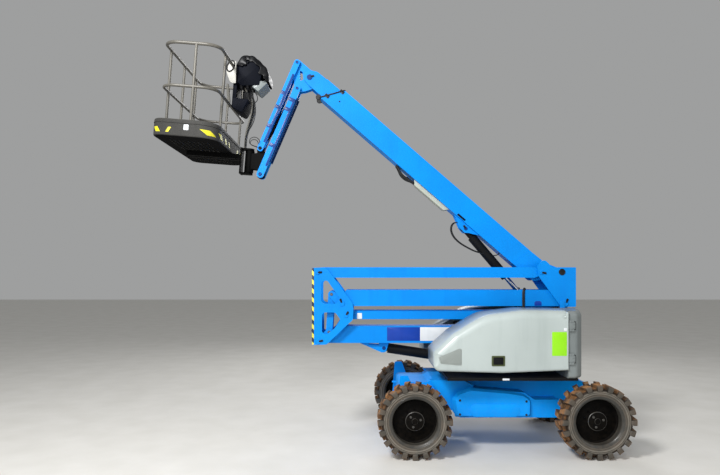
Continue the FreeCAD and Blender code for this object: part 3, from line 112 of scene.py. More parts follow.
# Finish of painted steel, moulded shell or plastic. Scales are patterns per metre, bumps are metres.
# base and shade: the coat and its darker clouds; dust lies on faces that look up and near the ground,
# and below is how far faces that look down are painted near black, as painted shade under things. Each edge is where
# its pattern comes in and is full.
def coated(name, base, shade, roughLow, roughHigh, coat, dustUp, dustLow, others):
    v = {
        "dust": "#a08a70", "underShade": "#0c0c0d", "metallic": 0.0, "specular": 0.35, "coatRough": 0.12, "below": 0.0,
        "peel": 260.0, "peelDepth": 0.00012, "streak": 0.25, "cloud": 1.6, "specks": 0.0, "speck": 520.0, "grit": 28.0,
        "runs": (9.0, 9.0, 0.9), "cloudEdge": (0.38, 0.68), "runEdge": (0.52, 0.78), "gritEdge": (0.3, 0.72),
        "speckEdge": (0.56, 0.66), "upEdge": (0.55, 0.98), "downEdge": (-0.35, -0.85), "groundEdge": (0.9, 0.15),
    }
    v.update(others)
    material, shader, add = startMaterial(name)
    place = add("place")
    up = add("z", add("normal"))
    cloud = add("noise", place, v["cloud"], 4.0)
    run = add("noise", add("stretch", place, v["runs"]), 1.0, 5.0)
    body = add("mix", add("range", cloud, *v["cloudEdge"]), colour(base), colour(shade))
    body = add("darken", add("MULTIPLY", add("range", run, *v["runEdge"]), v["streak"]), body, colour(shade))
    onTop = add("MULTIPLY", add("range", up, *v["upEdge"]), dustUp)
    nearGround = add("MULTIPLY", add("range", add("z", place), *v["groundEdge"]), dustLow)
    grit = add("range", add("noise", place, v["grit"], 6.0), *v["gritEdge"])
    settled = add("MULTIPLY", add("MAXIMUM", onTop, nearGround), grit)
    body = add("mix", settled, body, colour(v["dust"]))
    if v["specks"]:
        spots = add("range", add("noise", place, v["speck"], 1.0), *v["speckEdge"])
        body = add("mix", add("MULTIPLY", spots, v["specks"]), body, colour(v["dust"]))
    gloss = add("range", add("ADD", cloud, settled), 0.3, 1.0, roughLow, roughHigh)
    # painted shade: faces that look down are darkened towards near black
    if v["below"]:
        under = add("MULTIPLY", add("range", up, *v["downEdge"]), v["below"])
        body = add("mix", under, body, colour(v["underShade"]))
        gloss = add("MAXIMUM", gloss, under)
    bump = add("bump", add("noise", place, v["peel"], 2.0), v["peelDepth"])
    fill(shader, {"Base Color": body, "Roughness": gloss, "Normal": bump, "Metallic": v["metallic"],
                  "Specular IOR Level": v["specular"], "Coat Weight": coat, "Coat Roughness": v["coatRough"]})
    return material


coatRows = {
    # name: base, shade, roughness from and to, coat, dust on top, dust near the ground, what else differs
    # enamel on steel plate: even colour, broad soft highlights, faint orange peel; the frame's blue, lower down, is
    # lighter as painted light
    "boomBlue": ("#008ae6", "#007fd8", 0.42, 0.56, 0.03, 0.08, 0.08, {"streak": 0.12, "specular": 0.12}),
    "frameBlueLit": ("#049dfb", "#008ceb", 0.4, 0.55, 0.04, 0.05, 0.05, {"streak": 0.12, "specular": 0.08}),
    # this navy is a mark on the lower boom, and also the painted shadow on the riser's beam
    "navyMarkAndShade": ("#0c3fa8", "#0a3898", 0.34, 0.5, 0.1, 0.0, 0.0, {"specular": 0.25}),
    "blackPaint": ("#131416", "#0d0e10", 0.5, 0.66, 0.0, 0.12, 0.15, {"specular": 0.1}),
    # steel: the rails and tray galvanised and dull, the axle rusty brown-black, pins and bolts blackened by grease
    "railGrey": ("#6d6a63", "#5a5852", 0.36, 0.5, 0.0, 0.06, 0.5, {"streak": 0.12, "metallic": 0.15, "peelDepth": 0.00002}),
    "channelGrey": ("#bcc1b4", "#a7ac9f", 0.3, 0.5, 0.1, 0.1, 0.5, {"metallic": 0.2}),
    "axleSteel": ("#232325", "#171719", 0.45, 0.75, 0.0, 0.4, 0.45, {"peel": 150.0, "peelDepth": 0.0006}),
    "pinSteel": ("#2b2d30", "#1a1b1d", 0.35, 0.55, 0.0, 0.1, 0.15, {"metallic": 0.6}),
    "bareSteel": ("#77797b", "#5d5f61", 0.32, 0.5, 0.0, 0.35, 0.2, {"metallic": 0.85}),
    # moulded shell and cast tail: matt and slightly grained, and black or grey plastic with pale specks of dust
    "shellGrey": ("#b3bdbb", "#a8b2b0", 0.3, 0.45, 0.2, 0.12, 0.1,
                  {"cloud": 1.1, "streak": 0.18, "peel": 420.0, "peelDepth": 0.00005}),
    "tailGrey": ("#7e8585", "#707777", 0.4, 0.58, 0.1, 0.15, 0.15, {"peel": 90.0, "peelDepth": 0.0008}),
    "blackPlastic": ("#141519", "#0e0f12", 0.5, 0.65, 0.0, 0.12, 0.5,
                     {"specks": 0.06, "dust": "#5d564c", "peel": 700.0, "peelDepth": 0.0001, "specular": 0.12}),
    # the tray plastic is painted near black underneath, as painted shade
    "trayPlastic": ("#454544", "#373736", 0.5, 0.7, 0.0, 0.25, 0.5,
                    {"specks": 0.3, "dust": "#7d776c", "peel": 600.0, "peelDepth": 0.00015, "below": 0.98, "specular": 0.04}),
    # chrome on the rods mirrors what is round it; rubber and vinyl swallow light and show only soft edges
    "chrome": ("#b9bcbf", "#a6a9ac", 0.1, 0.22, 0.0, 0.1, 0.0, {"metallic": 1.0, "peelDepth": 0.00002}),
    "hoseRubber": ("#161718", "#0f1011", 0.45, 0.65, 0.0, 0.1, 0.1, {"peel": 900.0, "peelDepth": 0.0001}),
    "lidVinyl": ("#08090d", "#050608", 0.3, 0.45, 0.0, 0.02, 0.5, {"peel": 900.0, "peelDepth": 0.0001, "specular": 0.2}),
    "boxNavy": ("#070b18", "#050811", 0.5, 0.65, 0.0, 0.03, 0.5, {"specular": 0.07}),
    "rimBlack": ("#050505", "#030303", 0.58, 0.72, 0.0, 0.03, 0.02, {"specular": 0.06}),
    # the rim's barrel is a lighter grey: worn steel, and painted light on the dish's inner wall
    "rimBarrel": ("#3b3b38", "#2a2a28", 0.35, 0.5, 0.1, 0.1, 0.1, {}),
    "markYellow": ("#d9d030", "#c9c026", 0.38, 0.5, 0.1, 0.0, 0.5, {}),
    # painted shade: a dark blue for faces and edges of the blue steel that are lost in shade, and for its open ends
    "shadeBlue": ("#0a3a80", "#082f6a", 0.4, 0.55, 0.05, 0.0, 0.0, {"specular": 0.15}),
    "panelPale": ("#c4c3bc", "#b3b2ab", 0.38, 0.52, 0.05, 0.1, 0.5, {"streak": 0.3}),
    # woven sleeves round hoses: dull, with a coarse grain; the dark navy sleeve on the jib's hoses is painted shade
    # along the arm's side
    "hoseGrey": ("#74726b", "#5b5953", 0.5, 0.7, 0.0, 0.1, 0.5, {"peel": 700.0, "peelDepth": 0.0003}),
    "sleeveShadeNavy": ("#0d3468", "#0a2a55", 0.55, 0.7, 0.0, 0.05, 0.0, {"peel": 500.0, "peelDepth": 0.0003, "specular": 0.1}),
    "hubSteel": ("#5c5c5a", "#3f3f3e", 0.34, 0.5, 0.0, 0.35, 0.1, {"metallic": 0.5}),
    # printed film on the blank plates: flat, clear colour under a thin gloss
    "plateLime": ("#96e21a", "#8ad614", 0.34, 0.45, 0.15, 0.35, 0.5, {}),
    "plateWhite": ("#dfe3e6", "#d2d6d9", 0.34, 0.45, 0.15, 0.35, 0.1, {}),
    "latchOlive": ("#4c5530", "#3e4627", 0.4, 0.5, 0.05, 0.35, 0.5, {}),
}


# Tyre rubber: the mesh carries how much red-brown dust lies where, and how pale the rubber is there:
# grey dust on the flank's rings and lug tops, while the tread's gaps and the lugs' feet stay near black as painted
# shade.
def dustyRubber():
    v = {"deep": "#171614", "pale": "#7b7870", "dust": "#a9784a", "cloud": 9.0, "grain": 240.0, "grainDepth": 0.0005}
    material, shader, add = startMaterial("tyreRubber")
    place = add("place")
    cloud = add("noise", place, v["cloud"], 6.0)
    # paleness: grey dust, with the gaps left near black as painted shade
    paled = add("MULTIPLY", add("pale"), add("range", cloud, 0.2, 0.6, 0.7, 1.0))
    body = add("mix", paled, colour(v["deep"]), colour(v["pale"]))
    patchy = add("MULTIPLY", add("dust"), add("range", cloud, 0.3, 0.6))
    body = add("mix", patchy, body, colour(v["dust"]))
    bump = add("bump", add("noise", place, v["grain"], 3.0), v["grainDepth"])
    fill(shader, {"Base Color": body, "Roughness": add("range", patchy, 0.0, 1.0, 0.6, 0.95), "Normal": bump,
                  "Specular IOR Level": 0.2})
    return material


# Barred tape: diagonal bars, one pair to each pitch of x + y + z, and worn grey in spots
def barredTape():
    v = {"first": "#dcd23a", "second": "#191a1c", "paled": "#77726a", "pitch": 0.11, "wear": 60.0}
    material, shader, add = startMaterial("flangeBars")
    place = add("place")
    slope = add("ADD", add("ADD", add("y", place), add("z", place)), add("x", place))
    bars = add("GREATER_THAN", add("FRACT", add("DIVIDE", slope, v["pitch"])), 0.5)
    wear = add("noise", place, v["wear"], 5.0)
    body = add("mix", bars, colour(v["first"]), colour(v["second"]))
    body = add("mix", add("range", wear, 0.62, 0.8), body, colour(v["paled"]))
    fill(shader, {"Base Color": body, "Roughness": add("range", wear, 0.3, 0.8, 0.35, 0.6)})
    return material


# Perforated sheet in the shell's vents: round holes on a square pitch in x and z, the radius a share of the pitch
def perforatedSheet():
    v = {"sheet": "#a9b1ad", "hole": "#3d4240", "pitch": 0.009, "radius": 0.33, "edge": 0.05, "depth": 0.001}
    material, shader, add = startMaterial("ventSheet")
    place = add("place")
    squares = []
    for axis in ("x", "z"):
        off = add("SUBTRACT", add("FRACT", add("DIVIDE", add(axis, place), v["pitch"])), 0.5)
        squares.append(add("MULTIPLY", off, off))
    away = add("SQRT", add("ADD", squares[0], squares[1]))
    solid = add("range", away, v["radius"] - v["edge"], v["radius"] + v["edge"])
    fill(shader, {"Base Color": add("mix", solid, colour(v["hole"]), colour(v["sheet"])),
                  "Roughness": add("range", solid, 0.0, 1.0, 0.9, 0.45), "Normal": add("bump", solid, v["depth"])})
    return material


materialTable = {name: coated(name, *row) for name, row in coatRows.items()}
materialTable.update({"tyreRubber": dustyRubber(), "flangeBars": barredTape(), "ventSheet": perforatedSheet()})
print("stage: materials made,", len(materialTable))

# Which material each node of the frame wears
nodeMaterials = {
    "boomBlue": ("lower_boom", "lower_ties", "mid_knuckle", "upper_riser", "upper_ties", "upper_knuckle", "main_boom",
                 "fly_boom", "head_bracket", "jib_upper_arm", "jib_lower_arm", "timing_links"),
    "frameBlueLit": ("chassis_frame", "chassis_covers", "front_axle"),
    "blackPaint": ("turntable_frame", "riser_ram_barrel", "lift_ram_barrel", "jib_ram_barrel", "slew_ring"),
    "rimBlack": ("cage_post", "cage_mount", "rim_front_left", "rim_front_right", "rim_rear_left", "rim_rear_right"),
    "channelGrey": ("cable_tray",),
    "axleSteel": ("rear_axle", "steer_knuckle_left", "steer_knuckle_right", "engine_block"),
    "shellGrey": ("canopy_left", "canopy_right"),
    "tailGrey": ("counterweight",),
    "trayPlastic": ("cage_tray",),
    "railGrey": ("cage_rails",),
    "chrome": ("riser_ram_rod", "lift_ram_rod", "jib_ram_rod"),
    "sleeveShadeNavy": ("hoses_jib",),
    "tyreRubber": ("tyre_front_left", "tyre_front_right", "tyre_rear_left", "tyre_rear_right"),
}
for key, names in nodeMaterials.items():
    for name in names:
        if not nodes[name].material_slots:
            nodes[name].data.materials.append(materialTable[key])
        for slot in nodes[name].material_slots:
            slot.material = materialTable[key]
print("stage: node materials set")

# Mesh shapes: each is (points, faces), points an array of rows x, y, z. Most pieces stand on both sides.
sides = ((-1, "left"), (1, "right"))

def merged(shapes):
    points = []
    faces = []
    count = 0
    for spots, cells in shapes:
        points.append(np.asarray(spots, float))
        faces += [[i + count for i in cell] for cell in cells]
        count += len(spots)
    return np.vstack(points), faces


# Joins rings of equal length: face j of ring i spans points j and j + 1 of rings i and i + 1.
def skinned(rings, closed=True, capStart=False, capEnd=False):
    count = len(rings[0])
    points = np.vstack(rings)
    faces = []
    for i in range(len(rings) - 1):
        for j in range(count if closed else count - 1):
            a, b = i * count + j, i * count + (j + 1) % count
            faces.append([a, b, b + count, a + count])
    if capStart:
        faces.append(list(range(count))[::-1])
    if capEnd:
        faces.append([(len(rings) - 1) * count + j for j in range(count)])
    return points, faces


# Puts a shape drawn in u, v and outward w at a spot. u and v are directions, and w is u cross v.
def placed(shape, spot, u=(1, 0, 0), v=(0, 1, 0)):
    points, faces = shape
    u = np.asarray(u, float) / np.linalg.norm(u)
    v = np.asarray(v, float) / np.linalg.norm(v)
    return np.asarray(points, float) @ np.array([u, v, np.cross(u, v)]) + np.asarray(spot, float), faces


# Places a shape on a face that looks to the left, side -1, or to the right, side 1. u runs along (ux, uz).
def onSide(shape, x, z, y, side, ux=1.0, uz=0.0):
    if side < 0:
        return placed(shape, (x, -y, z), (ux, 0, uz), (-uz, 0, ux))
    return placed(shape, (x, y, z), (-ux, 0, -uz), (-uz, 0, ux))


# Corner rows (u, v, radius) turned into a smooth closed line; an arc of radius r starts r / tan(half the angle) away.
def roundedLine(corners, steps=6):
    line = []
    count = len(corners)
    for i in range(count):
        here = np.array(corners[i][:2], float)
        before = np.array(corners[i - 1][:2], float) - here
        after = np.array(corners[(i + 1) % count][:2], float) - here
        radius = corners[i][2]
        if radius <= 0:
            line.append(here)
            continue
        before /= np.linalg.norm(before)
        after /= np.linalg.norm(after)
        half = math.acos(np.clip(before @ after, -1, 1)) / 2
        centre = here + (before + after) / np.linalg.norm(before + after) * radius / math.sin(half)
        start = here + before * radius / math.tan(half) - centre
        finish = here + after * radius / math.tan(half) - centre
        sweep = math.atan2(start[0] * finish[1] - start[1] * finish[0], start @ finish)
        for k in range(steps + 1):
            turn = sweep * k / steps
            c, s = math.cos(turn), math.sin(turn)
            line.append(centre + (start[0] * c - start[1] * s, start[0] * s + start[1] * c))
    return np.array(line)


# Above zero where a closed line runs counter-clockwise
def turning(line):
    return np.sum(line[:, 0] * np.roll(line[:, 1], -1) - np.roll(line[:, 0], -1) * line[:, 1])


# Each point of a closed line moved inwards by its own distance, square to the line there
def drawnIn(line, distance):
    before = line - np.roll(line, 1, axis=0)
    after = np.roll(line, -1, axis=0) - line
    along = before / np.linalg.norm(before, axis=1)[:, None] + after / np.linalg.norm(after, axis=1)[:, None]
    along /= np.linalg.norm(along, axis=1)[:, None]
    inward = np.stack([-along[:, 1], along[:, 0]], axis=1) * (1 if turning(line) > 0 else -1)
    return line + inward * np.asarray(distance, float).reshape(-1, 1)


def counterClockwise(line):
    return line if turning(line) > 0 else line[::-1]


# A plate of the line's shape standing from w 0 to depth, with its upper edge eased by ease
def plateShape(corners, depth, ease, steps=6):
    line = counterClockwise(roundedLine(corners, steps))
    rings = []
    for inset, w in ((0, 0), (0, depth - ease), (ease * 0.3, depth - ease * 0.3), (ease, depth)):
        moved = drawnIn(line, inset)
        rings.append(np.column_stack([moved, np.full(len(moved), w)]))
    return skinned(rings, True, True, True)


def rectangle(width, height, radius):
    a, b = width / 2, height / 2
    return [(-a, -b, radius), (a, -b, radius), (a, b, radius), (-a, b, radius)]


# A turned shape: rows (radius, w) carried round the w axis
def turnedShape(rows, sides=32):
    angle = np.linspace(0, 2 * math.pi, sides, endpoint=False)
    rings = [np.column_stack([r * np.cos(angle), r * np.sin(angle), np.full(sides, w)]) for r, w in rows]
    return skinned(rings, True, True, True)


# Hexagon head on its washer, size across its corners
def boltShape(size):
    r = size / 2
    washer = turnedShape([(r * 1.35, 0), (r * 1.35, r * 0.16), (r * 1.25, r * 0.24), (r * 0.8, r * 0.24)], 20)
    head = turnedShape([(r, r * 0.2), (r, r * 0.82), (r * 0.86, r)], 6)
    return merged([washer, head])


# A tube along a line of points, its cross-section carried from point to point without twisting
def tubeShape(line, radius, sides=12):
    line = np.asarray(line, float)
    step = np.gradient(line, axis=0)
    step /= np.linalg.norm(step, axis=1)[:, None]
    side = np.cross(step[0], (0.1, 0.9, 0.3))
    angle = np.linspace(0, 2 * math.pi, sides, endpoint=False)
    rings = []
    for spot, along in zip(line, step):
        side = side - along * (side @ along)
        side /= np.linalg.norm(side)
        up = np.cross(along, side)
        rings.append(spot + radius * (np.outer(np.cos(angle), side) + np.outer(np.sin(angle), up)))
    return skinned(rings, True, True, True)


# A new piece from shapes, riding on its body. Faces meeting at more than the crease angle stay sharp.
def addPiece(name, body, shapes, material, crease=35.0):
    points, faces = merged(shapes) if isinstance(shapes, list) else shapes
    mesh = bpy.data.meshes.new(name)
    mesh.from_pydata(np.asarray(points).tolist(), [], faces)
    mesh.polygons.foreach_set("use_smooth", [True] * len(mesh.polygons))
    mesh.set_sharp_from_angle(angle=math.radians(crease))
    mesh.materials.append(materialTable[material])
    piece = bpy.data.objects.new(name, mesh)
    scene.collection.objects.link(piece)
    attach(piece, body)
    return piece


# Wheels: tyre with square staggered lugs and ringed flanks, and a dished rim with hub, nuts and cover screws
wheelValues = {
    "centreY": 0.895, "centreZ": 0.419, "frontX": 0.264, "rearX": 2.306, "lugs": 20, "lean": 0.030, "sides": 160,
    "barrelFrom": 0.2445,
    # half of the carcass section from the bead out to the middle of the tread:
    # radius, distance from the middle, how pale the rubber is, near none in the tread's gaps as painted shade
    "carcass": ((0.2805, 0.1190, 0.2), (0.2840, 0.1270, 0.5), (0.2910, 0.1285, 0.9), (0.2940, 0.1325, 0.1),
                (0.2990, 0.1340, 0.8), (0.3030, 0.1320, 0.15), (0.3180, 0.1380, 0.75), (0.3210, 0.1410, 0.95),
                (0.3260, 0.1415, 0.9), (0.3290, 0.1390, 0.15), (0.3400, 0.1420, 0.8), (0.3470, 0.1400, 0.55),
                (0.3560, 0.1330, 0.02), (0.3690, 0.1220, 0.0), (0.3790, 0.1080, 0.0), (0.3830, 0.0600, 0.1),
                (0.3840, 0.0, 0.1)),
    # the top of a lug from the middle to its foot on the flank: radius, distance, half width, dust, how pale
    "lug": ((0.4165, 0.004, 0.022, 0.85, 0.3), (0.4180, 0.045, 0.024, 0.9, 0.3), (0.4185, 0.090, 0.028, 0.85, 0.3),
            (0.4182, 0.128, 0.031, 0.7, 0.3), (0.4150, 0.1455, 0.0315, 0.35, 0.35), (0.4060, 0.1530, 0.0315, 0.1, 0.36),
            (0.3800, 0.1545, 0.0305, 0.06, 0.33), (0.3570, 0.1515, 0.0290, 0.05, 0.36), (0.3500, 0.1480, 0.0280, 0.05, 0.5)),
    "lugBase": ((0.3800, 0.004), (0.3800, 0.045), (0.3780, 0.085), (0.3700, 0.110), (0.3640, 0.118), (0.3600, 0.122),
                (0.3540, 0.130), (0.3480, 0.136), (0.3430, 0.139)),
    # bolts in a ring: how many, size, radius of the ring, distance out, turn of the first
    "nuts": (9, 0.022, 0.131, 0.026, 0.2), "capScrews": (3, 0.020, 0.066, 0.074, 0.25),
}


def tyreMesh(side):
    v = wheelValues
    half = list(v["carcass"])
    section = [(r, -y, tone) for r, y, tone in half] + [(r, y, tone) for r, y, tone in half[::-1][1:]]
    angle = np.linspace(0, 2 * math.pi, v["sides"], endpoint=False)
    rings = [np.column_stack([r * np.sin(angle), np.full(v["sides"], y), r * np.cos(angle)]) for r, y, tone in section]
    shapes = [skinned(rings)]
    dust = []
    pale = []
    for r, y, tone in section:
        dust += [0.6 if abs(y) < 0.115 else 0.06] * v["sides"]
        pale += [tone] * v["sides"]
    for row in (-1, 1):
        for i in range(v["lugs"]):
            turn = 2 * math.pi * (i + (0.5 if row > 0 else 0)) / v["lugs"]
            rings = []
            brown = []
            grey = []
            for (top, y, w, soil, tone), (base, baseY) in zip(v["lug"], v["lugBase"]):
                lead = v["lean"] * (0.150 - y) / 0.150 * side
                # round the lug: foot, side up to the edge, top and back down, as distance across, share of the height,
                # dust and paleness;
                # the foot gets no paleness and stays dark as painted shade between the lugs
                loop = ((-w - 0.003, 0.0, 0.5, 0.0), (-w, 0.93, 0.4, 0.5), (-w + 0.002, 1.0, 1.0, 1.0),
                        (w - 0.002, 1.0, 1.0, 1.0), (w, 0.93, 0.4, 0.5), (w + 0.003, 0.0, 0.5, 0.0))
                ring = []
                for across, share, soiled, paleShare in loop:
                    r = base + (top - base) * share
                    a = turn + (across + lead) / 0.4
                    ring.append((r * math.sin(a), row * (baseY + (y - baseY) * share), r * math.cos(a)))
                    brown.append(soil * soiled)
                    grey.append(tone * paleShare)
                rings.append(np.array(ring if row > 0 else ring[::-1]))
                if row < 0:
                    brown[-6:] = brown[-6:][::-1]
                    grey[-6:] = grey[-6:][::-1]
            shapes.append(skinned(rings, True, True, True))
            dust += brown
            pale += grey
    return merged(shapes), dust, pale


def boltRing(count, size, radius, height, first):
    turns = [2 * math.pi * i / count + first for i in range(count)]
    return [placed(boltShape(size), (radius * math.cos(a), radius * math.sin(a), height)) for a in turns]


def rimMesh():
    # rows: radius, and distance outwards from the wheel's middle plane; then the inner side's rows
    outer = [(0.0005, 0.083), (0.028, 0.083), (0.032, 0.079), (0.034, 0.074), (0.090, 0.074), (0.101, 0.070),
             (0.105, 0.062), (0.105, 0.032), (0.112, 0.028), (0.165, 0.024), (0.178, 0.018), (0.232, 0.014),
             (0.243, 0.020), (0.249, 0.034), (0.2525, 0.060), (0.2545, 0.110), (0.262, 0.120), (0.270, 0.124),
             (0.2785, 0.1275), (0.286, 0.1315), (0.2885, 0.1300), (0.2885, 0.1265), (0.2805, 0.1235)]
    inner = [(0.2795, -0.1235), (0.2875, -0.1255), (0.2875, -0.1300), (0.284, -0.1310), (0.262, -0.120),
             (0.2535, -0.100), (0.2530, -0.010), (0.245, 0.000), (0.110, 0.000), (0.105, -0.006), (0.105, -0.014),
             (0.060, -0.015), (0.047, -0.015), (0.047, -0.012)]
    hub = [turnedShape([(0.1065, 0.060), (0.1065, 0.0665), (0.1050, 0.0680), (0.1020, 0.0700), (0.1010, 0.0698)], 72),
           turnedShape([(0.034, 0.0735), (0.034, 0.0770), (0.031, 0.0785), (0.022, 0.0785), (0.020, 0.0745)], 40)]
    rim = merged([turnedShape(outer + inner, 96)] + boltRing(*wheelValues["nuts"]))
    return rim, hub + boltRing(*wheelValues["capScrews"])


rimShape, hubShapes = rimMesh()
wheelY, wheelZ = wheelValues["centreY"], wheelValues["centreZ"]
for end in ("front", "rear"):
    for side, word in sides:
        corner = end + "_" + word
        body = "wheel_" + corner
        wheelX = wheelValues[end + "X"]
        (points, faces), dust, pale = tyreMesh(side)
        points = points + np.array([wheelX, side * wheelY, wheelZ])
        tyre = addPiece("tyreTread_" + corner, body, (points, faces), "tyreRubber", 28.0)
        for layer, values in (("dust", dust), ("pale", pale)):
            tone = tyre.data.attributes.new(layer, "FLOAT", "POINT")
            tone.data.foreach_set("value", values)
        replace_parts(tyre, "tyre_" + corner)
        rim = addPiece("rimDish_" + corner, body, onSide(rimShape, wheelX, wheelZ, wheelY, side), "rimBlack", 30.0)
        # the barrel wears a lighter grey: worn steel, and painted light on the dish's inner wall
        rim.data.materials.append(materialTable["rimBarrel"])
        spots = np.array([v.co for v in rim.data.vertices])
        away = np.hypot(spots[:, 0] - wheelX, spots[:, 2] - wheelZ)
        barrel = [int(min(away[list(p.vertices)]) > wheelValues["barrelFrom"]) for p in rim.data.polygons]
        rim.data.polygons.foreach_set("material_index", barrel)
        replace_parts(rim, "rim_" + corner)
        shown = [onSide(s, wheelX, wheelZ, wheelY, side) for s in hubShapes]
        addPiece("hubTrim_" + corner, body, shown, "hubSteel", 30.0)
print("stage: wheels made")

# Canopies: a face that rolls over a wide shoulder into the top, and a thin lip below
canopyValues = {
    "halfWidth": 0.950, "inner": 0.320, "wall": 0.010, "shoulder": 0.100, "lip": 0.030, "tailLip": 0.010,
    "line": ((0.479, 0.975, 0.070), (0.479, 1.190, 0.060), (0.700, 1.392, 0.300), (1.050, 1.605, 0.500),
             (1.500, 1.662, 0.400), (1.990, 1.655, 0.030), (1.990, 0.985, 0.010), (1.250, 0.955, 0.900)),
    "vent": ((0.530, 1.135, 0.012), (0.765, 1.233, 0.012), (0.790, 1.222, 0.012), (0.790, 1.040, 0.012),
             (0.555, 1.062, 0.012)),
    # x and z of the latch, and z of its thumb plate
    "latch": (1.200, 1.093, 1.085),
}


def canopyMesh(side):
    v = canopyValues
    line = counterClockwise(roundedLine(v["line"], 14))
    count = len(line)
    wide = np.where(line[:, 1] > 1.05, v["shoulder"], v["lip"])
    wide = np.where(line[:, 0] > 1.985, v["tailLip"], wide)
    for _ in range(3):
        wide = (np.roll(wide, 1) + wide + np.roll(wide, -1)) / 3
    rings = []
    keepWall = (line[:, 1] > 1.0) & (line[:, 0] < 1.985)
    rings.append(np.column_stack([line[:, 0], np.full(count, -v["inner"]), line[:, 1]]))
    for k in range(10):
        turn = math.pi / 2 * k / 9
        moved = drawnIn(line, wide * (1 - math.cos(turn)))
        y = -(v["halfWidth"] - wide * (1 - math.sin(turn)))
        rings.append(np.column_stack([moved[:, 0], y, moved[:, 1]]))
    points, faces = skinned(rings, True, False, True)
    kept = []
    for face in faces:
        wall = len(face) == 4 and min(face) < count
        if not wall or all(keepWall[i % count] for i in face):
            kept.append(face)
    points[:, 1] *= -side
    return points, kept if side < 0 else [f[::-1] for f in kept]


for side, word in sides:
    v = canopyValues
    body = "canopy_" + word
    face = v["halfWidth"]
    shell = addPiece("canopyShell_" + word, body, canopyMesh(side), "shellGrey", 50.0)
    thick = shell.modifiers.new("wall", "SOLIDIFY")
    thick.thickness = v["wall"]
    thick.offset = -1.0
    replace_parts(shell, body)
    vent = plateShape([(x * -side, z, r) for x, z, r in v["vent"]], 0.002, 0.001)
    addPiece("canopyVent_" + word, body, onSide(vent, 0, 0, face, side), "ventSheet")
    x, z, thumbZ = v["latch"]
    latch = [onSide(plateShape(rectangle(0.150, 0.116, 0.010), 0.006, 0.003), x, z, face, side)]
    addPiece("canopyLatch_" + word, body, latch, "latchOlive")
    paddle = [onSide(plateShape(rectangle(0.112, 0.082, 0.006), 0.003, 0.002), x, z, face + 0.006, side),
              onSide(plateShape(rectangle(0.080, 0.050, 0.006), 0.007, 0.004), x, thumbZ, face + 0.009, side)]
    addPiece("canopyPaddle_" + word, body, paddle, "blackPlastic")
print("stage: canopies made")

# Blank plates and marks, each on both sides
plateRows = (
    # name, body (with its side where it ends with _), x, z, face, width, height, corner radius, depth, material
    ("noticePlate", "canopy_", 1.885, 1.284, 0.9502, 0.166, 0.268, 0.006, 0.0015, "plateLime"),
    ("cornerTab", "canopy_", 1.952, 1.446, 0.9502, 0.034, 0.034, 0.006, 0.0015, "plateWhite"),
    ("trayTab", "turntable", 1.300, 0.876, 0.890, 0.078, 0.022, 0.003, 0.0015, "plateWhite"),
    ("navyBlock", "lower_boom", 0.1915, 1.3155, 0.130, 0.412, 0.170, 0.004, 0.0012, "navyMarkAndShade"),
    ("whiteBlock", "lower_boom", 0.6915, 1.3155, 0.130, 0.586, 0.170, 0.004, 0.0012, "plateWhite"),
    ("tiePlate", "lower_ties", -0.358, 1.540, 0.122, 0.060, 0.072, 0.004, 0.0012, "plateWhite"),
    ("hangerLug", "upper_knuckle", 2.142, 1.665, 0.236, 0.062, 0.150, 0.016, 0.012, "boomBlue"),
)
for title, body, x, z, y, width, height, radius, depth, material in plateRows:
    ease = 0.0007 if depth == 0.0015 else depth * 0.3
    for side, word in sides:
        addPiece(title + "_" + word, body + word if body.endswith("_") else body,
                 onSide(plateShape(rectangle(width, height, radius), depth, ease), x, z, y, side), material)

# Canopy hinges on the tail: a pale block on a larger black plate
for side, word in sides:
    dark = []
    pale = []
    for z in (1.487, 1.112):
        dark.append(onSide(plateShape(rectangle(0.084, 0.098, 0.010), 0.008, 0.002), 2.032, z, 0.925, side))
        pale.append(onSide(plateShape(rectangle(0.070, 0.080, 0.008), 0.010, 0.003), 2.032, z, 0.932, side))
        pale.append(onSide(boltShape(0.016), 2.045, z + 0.020, 0.942, side))
        pale.append(onSide(boltShape(0.016), 2.045, z - 0.020, 0.942, side))
    addPiece("hingePlate_" + word, "turntable", dark, "blackPaint")
    addPiece("hingeBlock_" + word, "turntable", pale, "tailGrey")

# Chassis covers: a raised bare oval and the bolts at the corners
coverValues = {"face": 0.650, "bolts": ((0.817, 0.590), (0.817, 0.427), (1.593, 0.579), (1.593, 0.421))}
for side, word in sides:
    face = coverValues["face"]
    pad = onSide(plateShape(rectangle(0.584, 0.151, 0.072), 0.005, 0.003, 10), 1.225, 0.4735, face, side)
    addPiece("coverPad_" + word, "chassis", pad, "frameBlueLit")
    screws = [onSide(boltShape(0.020), x, z, face, side) for x, z in coverValues["bolts"]]
    addPiece("coverBolts_" + word, "chassis", screws, "pinSteel", 32.0)

# Pins of the linkage: a painted head, and a dark keeper plate with its two bolts at the edge of it
def pinHead(radius):
    r = radius
    return turnedShape([(r, 0), (r, 0.006), (r - 0.003, 0.009), (r * 0.55, 0.009), (r * 0.5, 0.007), (0.0005, 0.007)], 28)


def pinKeeper(radius, turn, length):
    c, s = math.cos(math.radians(turn)), math.sin(math.radians(turn))
    shapes = [(plateShape(rectangle(length, 0.024, 0.008), 0.007, 0.0015), 0.0, 0.0)]
    for shift in (-0.3, 0.3):
        shapes.append((boltShape(0.017), shift * length, 0.007))
    middle = radius * 0.75 + length * 0.25
    return [placed(shape, ((middle + along) * c, (middle + along) * s, up + 0.002), (c, s, 0), (-s, c, 0))
            for shape, along, up in shapes]
